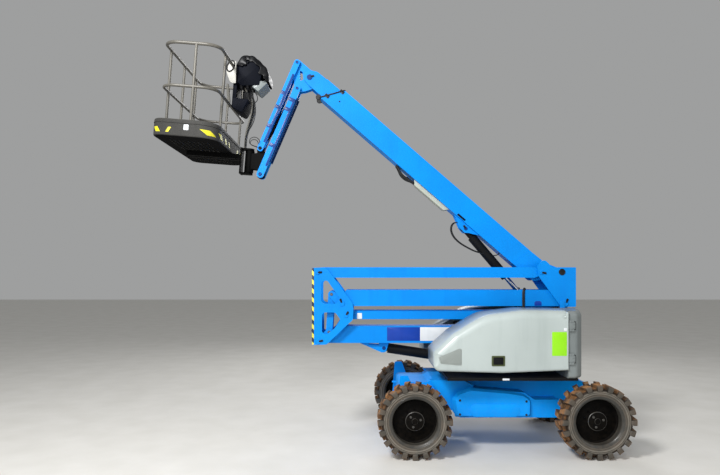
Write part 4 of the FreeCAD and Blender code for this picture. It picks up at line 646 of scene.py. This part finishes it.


# Heads in the dark blue of painted shade are pins set deep between plates, where shade falls
pinRows = (
    # name, body, x, z, face from the middle plane, radius, direction of the keeper in degrees, its length, its material
    ("lowerPin", "mid_knuckle", -0.869, 1.233, 0.235, 0.032, 12, 0.052, "boomBlue"),
    ("lowerTiePin", "mid_knuckle", -0.524, 1.554, 0.235, 0.026, 60, 0.048, "boomBlue"),
    ("upperPin", "mid_knuckle", -0.574, 1.702, 0.235, 0.032, 110, 0.050, "boomBlue"),
    ("upperTiePin", "mid_knuckle", -0.876, 2.084, 0.235, 0.026, 4, 0.048, "boomBlue"),
    ("knuckleTiePin", "upper_knuckle", 1.884, 2.084, 0.235, 0.026, -8, 0.055, "boomBlue"),
    ("knuckleRiserPin", "upper_knuckle", 2.186, 1.702, 0.235, 0.032, 68, 0.052, "boomBlue"),
    ("mastLowPin", "turntable", 1.891, 1.233, 0.175, 0.036, 30, 0.060, "blackPaint"),
    ("mastHighPin", "turntable", 2.236, 1.554, 0.175, 0.029, 150, 0.060, "blackPaint"),
    ("timingLowPin", "lower_boom", -0.737, 1.345, 0.190, 0.019, 0, 0, "bareSteel"),
    ("timingHighPin", "upper_riser", -0.706, 1.814, 0.190, 0.019, 0, 0, "bareSteel"),
    ("riserRamPin", "lower_boom", -0.052, 1.134, 0.076, 0.022, 0, 0, "shadeBlue"),
    ("riserRamFoot", "turntable", 1.150, 0.953, 0.076, 0.026, 0, 0, "blackPaint"),
    ("liftRamPin", "main_boom", 0.9777, 2.6358, 0.076, 0.022, 125, 0.040, "shadeBlue"),
    ("liftRamFoot", "upper_knuckle", 1.786, 1.687, 0.076, 0.026, 0, 0, "boomBlue"),
    ("headPin", "fly_boom", -0.9847, 4.5358, 0.092, 0.034, 18, 0.044, "shadeBlue"),
    ("jibTopPin", "head_bracket", -1.1420, 4.7230, 0.095, 0.018, 0, 0, "shadeBlue"),
    ("jibLowPin", "head_bracket", -1.1420, 4.3970, 0.095, 0.018, 0, 0, "shadeBlue"),
    ("postTopPin", "cage_post", -1.6064, 3.6447, 0.095, 0.020, 0, 0, "blackPaint"),
    ("postLowPin", "cage_post", -1.6064, 3.3187, 0.095, 0.020, 0, 0, "shadeBlue"),
)
for name, body, x, z, y, radius, turn, length, material in pinRows:
    for side, word in sides:
        addPiece(name + "_" + word, body, onSide(pinHead(radius), x, z, y, side), material, 32.0)
        if length:
            keeperTurn = turn if side < 0 else 180 - turn
            shapes = [onSide(s, x, z, y, side) for s in pinKeeper(radius, keeperTurn, length)]
            addPiece(name + "Keeper_" + word, body, shapes, "pinSteel", 32.0)
# the main boom's pivot: a wide dark cap in the knuckle's plate
pivot = (2.138, 2.090)
for side, word in sides:
    cap = turnedShape([(0.040, 0), (0.040, 0.007), (0.037, 0.009), (0.030, 0.0065), (0.0005, 0.0065)], 36)
    addPiece("boomPivotCap_" + word, "upper_knuckle", onSide(cap, *pivot, 0.235, side), "pinSteel", 32.0)
print("stage: pins made")

# Mid knuckle: barred tape on the front flange and on its edges, and the flange's bolts
flangeValues = {"front": -0.944, "middleZ": 1.666, "height": 0.944}
flange = flangeValues["front"]
for side, word in sides:
    edge, face = [plateShape(rectangle(width, flangeValues["height"], radius), 0.0012, 0.0004)
                  for width, radius in ((0.023, 0.002), (0.056, 0.003))]
    tape = [onSide(edge, -0.9315, flangeValues["middleZ"], 0.235, side),
            placed(face, (flange, side * 0.205, flangeValues["middleZ"]), (0, -1, 0), (0, 0, 1))]
    addPiece("flangeTape_" + word, "mid_knuckle", tape, "flangeBars")
shapes = [placed(boltShape(0.026), (flange, side * 0.150, z), (0, -1, 0), (0, 0, 1)) for side in (-1, 1) for z in (1.36, 1.62)]
addPiece("flangeBolts", "mid_knuckle", shapes, "pinSteel", 32.0)

# Painted shadow: a round dark blue patch on each riser beam, cut off by its lower edge, stands for a cast shadow
shadowPatch = [(-0.044, -0.030, 0.002), (0.044, -0.030, 0.002), (0.044, 0.028, 0.026), (-0.044, 0.028, 0.026)]
for side, word in sides:
    addPiece("riserShadowSpot_" + word, "upper_riser", onSide(plateShape(shadowPatch, 0.001, 0.0003), 1.855, 1.702, 0.190, side),
             "navyMarkAndShade")

# Strap that hooks over the riser's beam and hangs behind the canopy
strapLine = np.array([(1.700, -0.150, 1.874), (1.690, -0.175, 1.880), (1.680, -0.193, 1.872), (1.674, -0.200, 1.845),
                      (1.672, -0.201, 1.780), (1.672, -0.201, 1.700), (1.673, -0.202, 1.640), (1.675, -0.205, 1.580)])
strapValues = {"width": 0.017, "sides": 14, "flat": 0.42}
for side, word in sides:
    line = strapLine * np.array([1, -side, 1])
    spots, cells = tubeShape(line, strapValues["width"], strapValues["sides"])
    middle = np.repeat(line, strapValues["sides"], axis=0)
    spots[:, 1] = middle[:, 1] + (spots[:, 1] - middle[:, 1]) * strapValues["flat"]
    addPiece("riserStrap_" + word, "upper_riser", (spots, cells), "hoseRubber", 50.0)

# Main boom: its own directions, with the pivot as origin
boomValues = {"angle": 40.8, "face": 0.120, "pads": ((3.527, 0.070), (3.636, 0.230)), "padBolts": (-0.018, 0.018)}
boomAngle = math.radians(boomValues["angle"])
boomAlong = np.array([-math.cos(boomAngle), math.sin(boomAngle)])
boomBelow = np.array([-math.sin(boomAngle), -math.cos(boomAngle)])


def boomSpot(along, below):
    return np.array(pivot) + along * boomAlong + below * boomBelow


# A shape on the boom's side face, its u axis running down the boom towards the pivot
def onBoom(shape, along, below, side, out=0.0):
    x, z = boomSpot(along, below)
    return onSide(shape, x, z, boomValues["face"] + out, side, -boomAlong[0], -boomAlong[1])


# A route or line under the boom, written along the boom, below it and in y, turned into x, y, z
def onRoute(rows):
    spots = []
    for along, below, y in rows:
        x, z = boomSpot(along, below)
        spots.append((x, y, z))
    return spots


for side, word in sides:
    pads = []
    for along, below in boomValues["pads"]:
        pads.append(onBoom(plateShape(rectangle(0.062, 0.040, 0.006), 0.005, 0.0015), along, below, side))
        for shift in boomValues["padBolts"]:
            pads.append(onBoom(boltShape(0.019), along + shift, below, side, 0.005))
    pads.append(onBoom(boltShape(0.016), 3.472, 0.180, side))
    addPiece("padBolts_" + word, "main_boom", pads, "pinSteel", 32.0)
    # the slot is a flat dark navy plate: painted shade for the hole
    slotLine = [(-0.066, -0.013, 0.006), (0.058, -0.013, 0.006), (0.066, 0.013, 0.006), (-0.058, 0.013, 0.006)]
    addPiece("boomSlotShade_" + word, "main_boom", onBoom(plateShape(slotLine, 0.0012, 0.0004), 1.372, 0.280, side), "boxNavy")
# seal round the mouth, following the slanted end, and two rollers under it
loop = onRoute(((3.690, 0.303, -0.060), (3.690, 0.303, -0.110), (3.684, 0.290, -0.122), (3.600, 0.165, -0.1225),
                (3.520, 0.044, -0.122), (3.512, 0.031, -0.110), (3.512, 0.031, 0.0)))
loop = loop + [(x, -y, z) for x, y, z in loop[-2::-1]]
addPiece("mouthSeal", "main_boom", tubeShape(loop, 0.009, 10), "hoseRubber", 60.0)
roller = turnedShape([(0.030, 0), (0.034, 0.004), (0.034, 0.026), (0.030, 0.030), (0.012, 0.030)], 20)
rollers = [placed(roller, spot, (1, 0, 0), (0, 0, 1)) for spot in onRoute(((3.715, 0.305, -0.065), (3.715, 0.305, 0.095)))]
addPiece("mouthRollers", "main_boom", rollers, "hoseRubber", 32.0)
print("stage: riser and boom marks made")


# Hoses: each is one smooth NURBS spline whose control points are its route.
def addHose(name, body, route, radius, length, material="hoseRubber", instead=None):
    curve = bpy.data.curves.new(name, "CURVE")
    curve.dimensions = "3D"
    curve.resolution_u = 10
    spline = curve.splines.new("NURBS")
    spline.points.add(len(route) - 1)
    spline.points.foreach_set("co", np.column_stack([np.asarray(route, float), np.ones(len(route))]).ravel())
    spline.order_u = 3
    spline.use_endpoint_u = True
    curve.bevel_depth = radius
    curve.bevel_resolution = 3
    curve.use_fill_caps = True
    curve.materials.append(materialTable[material])
    hose = bpy.data.objects.new(name, curve)
    scene.collection.objects.link(hose)
    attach(hose, body)
    if instead:
        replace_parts(hose, instead)
    tuple(route[0])
    return hose


# Five hoses that cross the gap in the channel under the boom, each with its coupling
channelValues = {
    "radius": 0.011, "coupling": 0.0155, "spread": (-0.050, -0.025, 0.0, 0.025, 0.050), "length": 0.372, "sag": 0.010,
}
fittings = []
for i, y in enumerate(channelValues["spread"]):
    sag = channelValues["sag"] * math.sin(i * 2.1)
    rows = [(2.06, 0.326, y), (2.14, 0.330, y), (2.21, 0.354 + sag, y * 1.1), (2.30, 0.352 + sag, y * 1.2),
            (2.37, 0.322, y * 1.1), (2.42, 0.309, y)]
    addHose("channelHose_%d" % i, "main_boom", onRoute(rows), channelValues["radius"], channelValues["length"])
    start = 2.170 + 0.025 * (i % 2)
    rows = [(start, 0.3385 + sag * 0.5, y * 1.05), (start + 0.030, 0.343 + sag * 0.7, y * 1.08),
            (start + 0.055, 0.346 + sag * 0.8, y * 1.1)]
    fittings.append(tubeShape(onRoute(rows), channelValues["coupling"], 6))
addPiece("channelFittings", "main_boom", fittings, "pinSteel", 40.0)

# Hoses at the lift ram: two loops ahead of its pin and one behind its barrel
liftHoseRows = (
    # name, length, route
    ("outer", 0.76, ((0.935, -0.056, 2.700), (0.870, -0.056, 2.722), (0.800, -0.060, 2.700), (0.782, -0.062, 2.612),
                     (0.825, -0.062, 2.520), (0.905, -0.060, 2.448), (1.010, -0.058, 2.388), (1.110, -0.052, 2.340),
                     (1.215, -0.042, 2.318))),
    ("inner", 0.76, ((0.950, -0.032, 2.700), (0.885, -0.032, 2.722), (0.817, -0.036, 2.700), (0.799, -0.040, 2.614),
                     (0.841, -0.040, 2.524), (0.920, -0.038, 2.452), (1.026, -0.032, 2.392), (1.126, -0.028, 2.344),
                     (1.222, -0.022, 2.325))),
    ("rear", 0.45, ((1.185, -0.030, 2.568), (1.225, -0.035, 2.520), (1.285, -0.035, 2.455), (1.375, -0.032, 2.410),
                    (1.420, -0.028, 2.345), (1.375, -0.022, 2.290), (1.290, -0.015, 2.300))),
)
for name, length, route in liftHoseRows:
    addHose("liftHose_" + name, "lift_ram_barrel", route, 0.0065, length)
print("stage: boom hoses made")


# Jib: clamp bands along each arm, and a strip of painted shade along one edge of its sides
jibValues = {
    "angle": -66.7, "face": 0.095,
    # name, body, top pin, height, places of the bands, the painted shade strip's share of the height, its length and
    # its middle
    "arms": (("upperArm", "jib_upper_arm", (-1.1420, 4.7230), 0.072, (0.42, 0.61, 0.87), 0.42, 0.93, 0.62),
             ("lowerArm", "jib_lower_arm", (-1.1420, 4.3970), 0.088, (0.16, 0.29, 0.78), 0.30, 0.90, 0.60)),
}
jibAngle = math.radians(jibValues["angle"])
jibAlong = np.array([-math.cos(jibAngle), math.sin(jibAngle)])
jibAcross = np.array([-math.sin(jibAngle), -math.cos(jibAngle)])


def onArm(shape, spot, side):
    return onSide(shape, spot[0], spot[1], jibValues["face"], side, jibAlong[0], jibAlong[1])


for name, body, top, height, places, share, long, middle in jibValues["arms"]:
    # the bands are drawn as clamps and coloured in the dark blue of painted shade
    band = plateShape(rectangle(0.046, height * 0.99, 0.003), 0.0022, 0.0005)
    bands = [onArm(band, np.array(top) + jibAlong * place, side) for place in places for side in (-1, 1)]
    addPiece("clampBands_" + name, body, bands, "shadeBlue", 40.0)
    # painted shade: a dark blue strip over one edge of each side face, where the arm's side falls in shade
    edge = plateShape(rectangle(long, height * share, 0.004), 0.0014, 0.0004)
    spot = np.array(top) + jibAlong * middle + jibAcross * height * (0.48 - share / 2)
    for side, word in sides:
        addPiece("armShade_" + name + "_" + word, body, onArm(edge, spot, side), "shadeBlue")
print("stage: jib bands made")

# Cage: drawn level about the rotator, then tipped with it
cageValues = {
    "rotator": (-1.75698, 3.48002), "tilt": 4.5, "far": -2.71998, "near": -1.97498, "half": 0.925,
    "farCorner": 0.130, "nearCorner": 0.230,
}


def tipped(shape):
    points, faces = shape
    points = np.array(points, float)
    turn = math.radians(cageValues["tilt"])
    x = points[:, 0] - cageValues["rotator"][0]
    z = points[:, 2] - cageValues["rotator"][1]
    points[:, 0] = cageValues["rotator"][0] + x * math.cos(turn) + z * math.sin(turn)
    points[:, 2] = cageValues["rotator"][1] - x * math.sin(turn) + z * math.cos(turn)
    return points, faces


# Skewed yellow marks that follow the tray's plan: places along the plan are measured from the end of its left side
trayCorners = (("near", -1, "nearCorner"), ("far", -1, "farCorner"), ("far", 1, "farCorner"), ("near", 1, "nearCorner"))
trayPlan = roundedLine([(cageValues[x], side * cageValues["half"], cageValues[radius]) for x, side, radius in trayCorners], 16)
trayPlan = drawnIn(trayPlan, -0.0016)
closed = np.vstack([trayPlan, trayPlan[:1]])
walked = np.concatenate([[0], np.cumsum(np.linalg.norm(np.diff(closed, axis=0), axis=1))])

trayMarkValues = {"low": 3.606, "high": 3.664, "rows": 9, "steps": 13, "bead": 3.716, "plateX": -2.322, "plateZ": 3.672}


def trayMark(middle, length, skew):
    v = trayMarkValues
    rows = []
    for up in np.linspace(0, 1, v["rows"]):
        s = (middle + skew * (up - 0.5) + np.linspace(-length / 2, length / 2, v["steps"])) % walked[-1]
        rows.append(np.column_stack([np.interp(s, walked, closed[:, 0]), np.interp(s, walked, closed[:, 1]),
                                     np.full(v["steps"], v["low"] + (v["high"] - v["low"]) * up)]))
    return skinned(rows, False)


def nearestPlan(x, y):
    best = None
    for i in range(len(closed) - 1):
        step = closed[i + 1] - closed[i]
        t = np.clip(((x - closed[i][0]) * step[0] + (y - closed[i][1]) * step[1]) / (step @ step), 0, 1)
        gap = math.hypot(closed[i][0] + step[0] * t - x, closed[i][1] + step[1] * t - y)
        if best is None or gap < best[0]:
            best = (gap, walked[i] + t * math.sqrt(step @ step))
    return best[1]


markPlaces = (
    # near which x and distance from the middle, length, skew
    (-2.655, 0.905, 0.060, 0.040), (-2.520, 0.925, 0.034, -0.030), (-2.075, 0.883, 0.120, 0.090),
    (-1.975, 0.690, 0.110, 0.080), (-1.975, 0.440, 0.075, 0.060), (-1.975, 0.250, 0.060, 0.050),
    (-2.720, 0.500, 0.110, 0.080), (-2.720, 0.150, 0.110, 0.080),
)
marks = []
blank = []
for side in (-1, 1):
    for x, out, length, skew in markPlaces:
        marks.append(tipped(trayMark(nearestPlan(x, side * out), length, -skew * side)))
    blank.append(tipped(onSide(plateShape(rectangle(0.055, 0.060, 0.004), 0.0015, 0.0005), trayMarkValues["plateX"],
                               trayMarkValues["plateZ"], cageValues["half"], side)))
addPiece("trayMarks", "cage", marks, "markYellow")
addPiece("trayPlates", "cage", blank, "plateWhite")
bead = np.column_stack([closed, np.full(len(closed), trayMarkValues["bead"])])
addPiece("trayBead", "cage", tipped(tubeShape(bead, 0.0035, 8)), "trayPlastic", 60.0)
print("stage: tray marks made")

# Console: a dark hood on the near rail under a lumpy black lid, with a holder, a pale side panel, foot and strip
lidValues = {
    "at": (-2.0077, 4.6400), "halfWidth": 0.166, "hem": 0.075, "wall": 0.006,
    # the lid's line out and up from there, and how far it stands off the hood's edge
    "line": ((0.030, 0.000, 0.000), (0.043, 0.062, -0.002), (0.100, 0.146, -0.013), (0.150, 0.152, -0.013),
             (0.207, 0.158, -0.014), (0.262, 0.108, 0.006), (0.330, 0.052, 0.012), (0.385, -0.010, 0.014),
             (0.418, -0.070, 0.014), (0.436, -0.125, 0.010), (0.440, -0.170, 0.000)),
}
# The hood's outline, that of the holder below it and that of the arm between the rails, in the cage's level place:
# half the width, how far the edge is eased, then x, z and corner radius
hoodRows = (
    (0.165, 0.012, ((-1.9057, 4.400, 0.010), (-1.6757, 4.420, 0.020), (-1.6587, 4.560, 0.030), (-1.7087, 4.680, 0.040),
                    (-1.8107, 4.772, 0.030), (-1.9007, 4.762, 0.030), (-1.9507, 4.695, 0.030), (-1.9567, 4.440, 0.010))),
    (0.190, 0.008, ((-1.9957, 4.240, 0.010), (-1.9957, 4.120, 0.020), (-1.8697, 4.060, 0.030), (-1.7897, 4.230, 0.010))),
    (0.150, 0.003, ((-2.0057, 4.130, 0.004), (-1.9577, 4.130, 0.004), (-1.9577, 4.660, 0.004), (-2.0057, 4.660, 0.004))),
)
hood = [tipped(onSide(plateShape(line, 2 * half, ease), 0, 0, -half, -1)) for half, ease, line in hoodRows]
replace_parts(addPiece("consoleHood", "cage", hood, "boxNavy", 32.0), "cage_console")


# The lid: along the edge line s runs 0 to 1, across it t runs -1 to 1. Past the hood's sides it turns down by the hem,
# and three waves of different pitch lift it in soft lumps.
def lidMesh():
    v = lidValues
    rows = np.array(v["line"])
    s = np.linspace(0, 1, len(rows))
    fine = np.linspace(0, 1, 61)
    kernel = np.ones(7) / 7
    x, z, off = [np.convolve(np.pad(np.interp(fine, s, rows[:, i]), 3, mode="edge"), kernel, mode="valid") for i in range(3)]
    dx, dz = np.gradient(x), np.gradient(z)
    size = np.hypot(dx, dz)
    outX, outZ = -dz / size, dx / size
    t = np.linspace(-1, 1, 57)
    grid, cross = np.meshgrid(fine, t, indexing="ij")
    over = np.clip(np.abs(cross) - 0.72, 0, None) / 0.28
    y = np.sign(cross) * (np.clip(np.abs(cross), 0, 0.72) / 0.72 * v["halfWidth"] + 0.010 * np.sin(over * math.pi / 2))
    down = -v["hem"] * over * (1 + 0.35 * np.sin(grid * 19.0) + 0.2 * np.sin(grid * 41.0 + cross * 3))
    lump = 0.004 * np.sin(grid * 23 + cross * 4) + 0.003 * np.sin(grid * 47 - cross * 9) + 0.003 * np.sin(cross * 17 + grid * 11)
    lump = lump * np.sin(math.pi * np.clip(grid, 0.02, 0.98)) ** 0.5
    y = y + np.sign(cross) * over * (0.006 + 0.005 * np.sin(grid * 37))
    lift = off[:, None] + lump * (1 - over) + down
    px = v["at"][0] + x[:, None] + outX[:, None] * lift
    pz = v["at"][1] + z[:, None] + outZ[:, None] * lift
    rings = [np.column_stack([px[i], y[i], pz[i]]) for i in range(len(fine))]
    return skinned(rings, False)


lid = addPiece("consoleLid", "cage", tipped(lidMesh()), "lidVinyl", 60.0)
lidWall = lid.modifiers.new("wall", "SOLIDIFY")
lidWall.thickness = lidValues["wall"]
lidWall.offset = 0.0
# x, z and corner radius of the pale panel, the strip and the foot, and the ring on each side: middle, reach, lean
consoleValues = {
    "panel": ((-1.887, 4.704, 0.012), (-1.948, 4.708, 0.035), (-2.018, 4.600, 0.110), (-1.962, 4.438, 0.050),
              (-1.892, 4.430, 0.012)),
    "strip": ((-2.012, 4.430, 0.008), (-1.985, 4.430, 0.008), (-1.965, 4.215, 0.008), (-1.978, 4.140, 0.010),
              (-2.000, 4.140, 0.010)),
    "foot": ((-1.700, 4.400, 0.010), (-1.600, 4.470, 0.010), (-1.520, 4.462, 0.012), (-1.508, 4.440, 0.012),
             (-1.620, 4.335, 0.015)),
    "ring": (-1.9535, 4.643, 0.045, 0.066, 0.018),
}
turn = np.linspace(0, 2 * math.pi, 33)
ringX, ringZ, ringWide, ringHigh, ringLean = consoleValues["ring"]
for side, word in sides:
    panel = plateShape([(x * -side, z, r) for x, z, r in consoleValues["panel"]], 0.006, 0.002, 10)
    addPiece("consolePanel_" + word, "cage", onSide(panel, 0, 0, 0.184, side), "panelPale")
    ringLine = np.column_stack([ringX + ringWide * np.cos(turn) + ringLean * np.sin(turn),
                                np.full(len(turn), side * 0.193), ringZ + ringHigh * np.sin(turn)])
    addPiece("consoleRing_" + word, "cage", tubeShape(ringLine, 0.0085, 10), "lidVinyl", 60.0)
strip = plateShape(consoleValues["strip"], 0.030, 0.003)
addPiece("consoleStrip", "cage", onSide(strip, 0, 0, 0.152, -1), "hoseGrey")
foot = plateShape(consoleValues["foot"], 0.320, 0.006)
addPiece("consoleFoot", "cage", onSide(foot, 0, 0, -0.160, -1), "tailGrey")
plugs = []
for x, y in ((-1.830, -0.130), (-1.755, -0.135), (-1.700, -0.120), (-1.790, -0.060), (-1.720, 0.020), (-1.800, 0.080)):
    plug = turnedShape([(0.026, 0), (0.026, 0.024), (0.021, 0.028), (0.021, 0.050), (0.012, 0.056), (0.011, 0.068)], 20)
    plugs.append(placed(plug, (x, y, 4.425), (1, 0, 0), (0, -1, 0)))
addPiece("consolePlugs", "cage", plugs, "blackPlastic", 32.0)
block = [placed(plateShape(rectangle(0.110, 0.130, 0.012), 0.150, 0.006), (-1.770, 0.060, 4.290), (1, 0, 0), (0, 0, 1))]
addPiece("consoleValve", "cage", block, "blackPlastic", 32.0)
print("stage: console made")

# Hoses of the cage: the four that run from the hood down to the mount follow the frame's own route
hoodHoseValues = {
    "x": -1.756981, "top": 4.640024, "end": 3.652324, "radius": 0.010,
    # towards the boom, below the top rail, share of y, share of the bow
    "route": ((-0.110, -0.238, 1.00, 0.0), (-0.106, -0.275, 1.00, 0.0), (-0.014, -0.360, 1.00, 1.0), (-0.004, -0.500, 0.90, 1.0),
              (-0.030, -0.640, 0.75, 0.8), (-0.062, -0.790, 0.62, 0.2), (-0.065, -0.900, 0.60, 0.0)),
    # y, bow, length, material
    "hoses": ((-0.075, 0.0, 0.80, "hoseGrey"), (-0.038, 0.014, 0.80, "hoseRubber"), (0.0, 0.004, 0.80, "hoseGrey"),
              (0.040, 0.018, 0.80, "hoseGrey")),
}
for i, (y, bow, length, material) in enumerate(hoodHoseValues["hoses"]):
    v = hoodHoseValues
    route = [(v["x"] + out + bow * share, y * yShare, v["top"] + up) for out, up, yShare, share in v["route"]]
    route.append((route[-1][0], route[-1][1], v["end"]))
    route = tipped((route, []))[0]
    addHose("hoodHose_%d" % i, "cage", route, v["radius"], length, material, instead="hoses_console")
looseHoseRows = (
    # name, body, radius, length, route
    ("hoodLoop", "cage", 0.0050, 0.45,
     ((-1.830, -0.130, 4.400), (-1.832, -0.134, 4.330), (-1.833, -0.146, 4.270), (-1.812, -0.158, 4.225),
      (-1.762, -0.165, 4.206), (-1.706, -0.150, 4.236), (-1.698, -0.130, 4.330), (-1.700, -0.120, 4.400))),
    ("sideLoop", "cage", 0.0050, 0.52,
     ((-1.755, -0.135, 4.400), (-1.755, -0.138, 4.330), (-1.750, -0.150, 4.265), (-1.715, -0.160, 4.200),
      (-1.660, -0.160, 4.190), (-1.628, -0.140, 4.235), (-1.640, -0.100, 4.300), (-1.672, -0.075, 4.345),
      (-1.690, -0.070, 4.405))),
    ("longLoop", "cage", 0.0055, 0.79,
     ((-1.690, -0.120, 4.400), (-1.690, -0.125, 4.330), (-1.685, -0.138, 4.270), (-1.662, -0.150, 4.200),
      (-1.650, -0.150, 4.110), (-1.665, -0.145, 4.000), (-1.700, -0.130, 3.920), (-1.755, -0.110, 3.850),
      (-1.800, -0.080, 3.760), (-1.800, -0.060, 3.655))),
    ("postLoop", "cage_post", 0.0045, 0.385,
     ((-1.618, -0.085, 3.655), (-1.603, -0.095, 3.706), (-1.622, -0.102, 3.762), (-1.675, -0.108, 3.785),
      (-1.728, -0.112, 3.762), (-1.742, -0.114, 3.712), (-1.708, -0.112, 3.676), (-1.640, -0.095, 3.658))),
    ("postLoopInner", "cage_post", 0.0045, 0.33,
     ((-1.630, -0.085, 3.650), (-1.622, -0.092, 3.700), (-1.648, -0.100, 3.748), (-1.694, -0.104, 3.752),
      (-1.730, -0.106, 3.725), (-1.724, -0.106, 3.686), (-1.682, -0.104, 3.668), (-1.636, -0.093, 3.652))),
)
for name, body, radius, length, route in looseHoseRows:
    addHose(name, body, route, radius, length)
print("stage: cage hoses made")

# Stage: pale floor and backdrop, large soft lights
stageValues = {"floor": "#dcdad5", "mottle": "#d4d2cc", "rough": 0.8, "back": "#e9eaea", "world": 0.42, "half": 40.0}
floorMesh = bpy.data.meshes.new("floor")
half = stageValues["half"]
floorMesh.from_pydata([(-half, -half, 0), (half, -half, 0), (half, half, 0), (-half, half, 0)], [], [[0, 1, 2, 3]])
floor = bpy.data.objects.new("floor", floorMesh)
scene.collection.objects.link(floor)
material, shader, add = startMaterial("floorPale")
mottle = add("range", add("noise", add("place"), 2.0, 6.0), 0.3, 0.7)
fill(shader, {"Base Color": add("mix", mottle, colour(stageValues["floor"]), colour(stageValues["mottle"])),
              "Roughness": stageValues["rough"]})
floorMesh.materials.append(material)

world = bpy.data.worlds.new("world")
world.use_nodes = True
world.node_tree.nodes["Background"].inputs["Color"].default_value = colour(stageValues["back"])
world.node_tree.nodes["Background"].inputs["Strength"].default_value = stageValues["world"]
scene.world = world

lightRows = (
    # name, place, aims at, width, watts
    ("keyLight", (-3.8, -6.5, 7.5), (0.3, 0.0, 1.8), 2.0, 800.0),
    ("lowLight", (-2.8, -9.5, 4.0), (1.2, 0.0, 0.8), 4.0, 300.0),
    ("fillLight", (6.0, -5.0, 3.5), (0.5, 0.0, 1.6), 4.0, 60.0),
    ("backLight", (1.0, 7.0, 6.5), (0.0, 0.0, 2.0), 5.0, 240.0),
)
for name, at, aim, width, watts in lightRows:
    lightData = bpy.data.lights.new(name, "AREA")
    lightData.shape = "DISK"
    lightData.size = width
    lightData.energy = watts
    light = bpy.data.objects.new(name, lightData)
    light.location = at
    away = np.array(at, float) - np.array(aim, float)
    light.rotation_euler = (math.atan2(math.hypot(away[0], away[1]), away[2]), 0, math.atan2(away[0], -away[1]))
    scene.collection.objects.link(light)
print("stage: lights set")
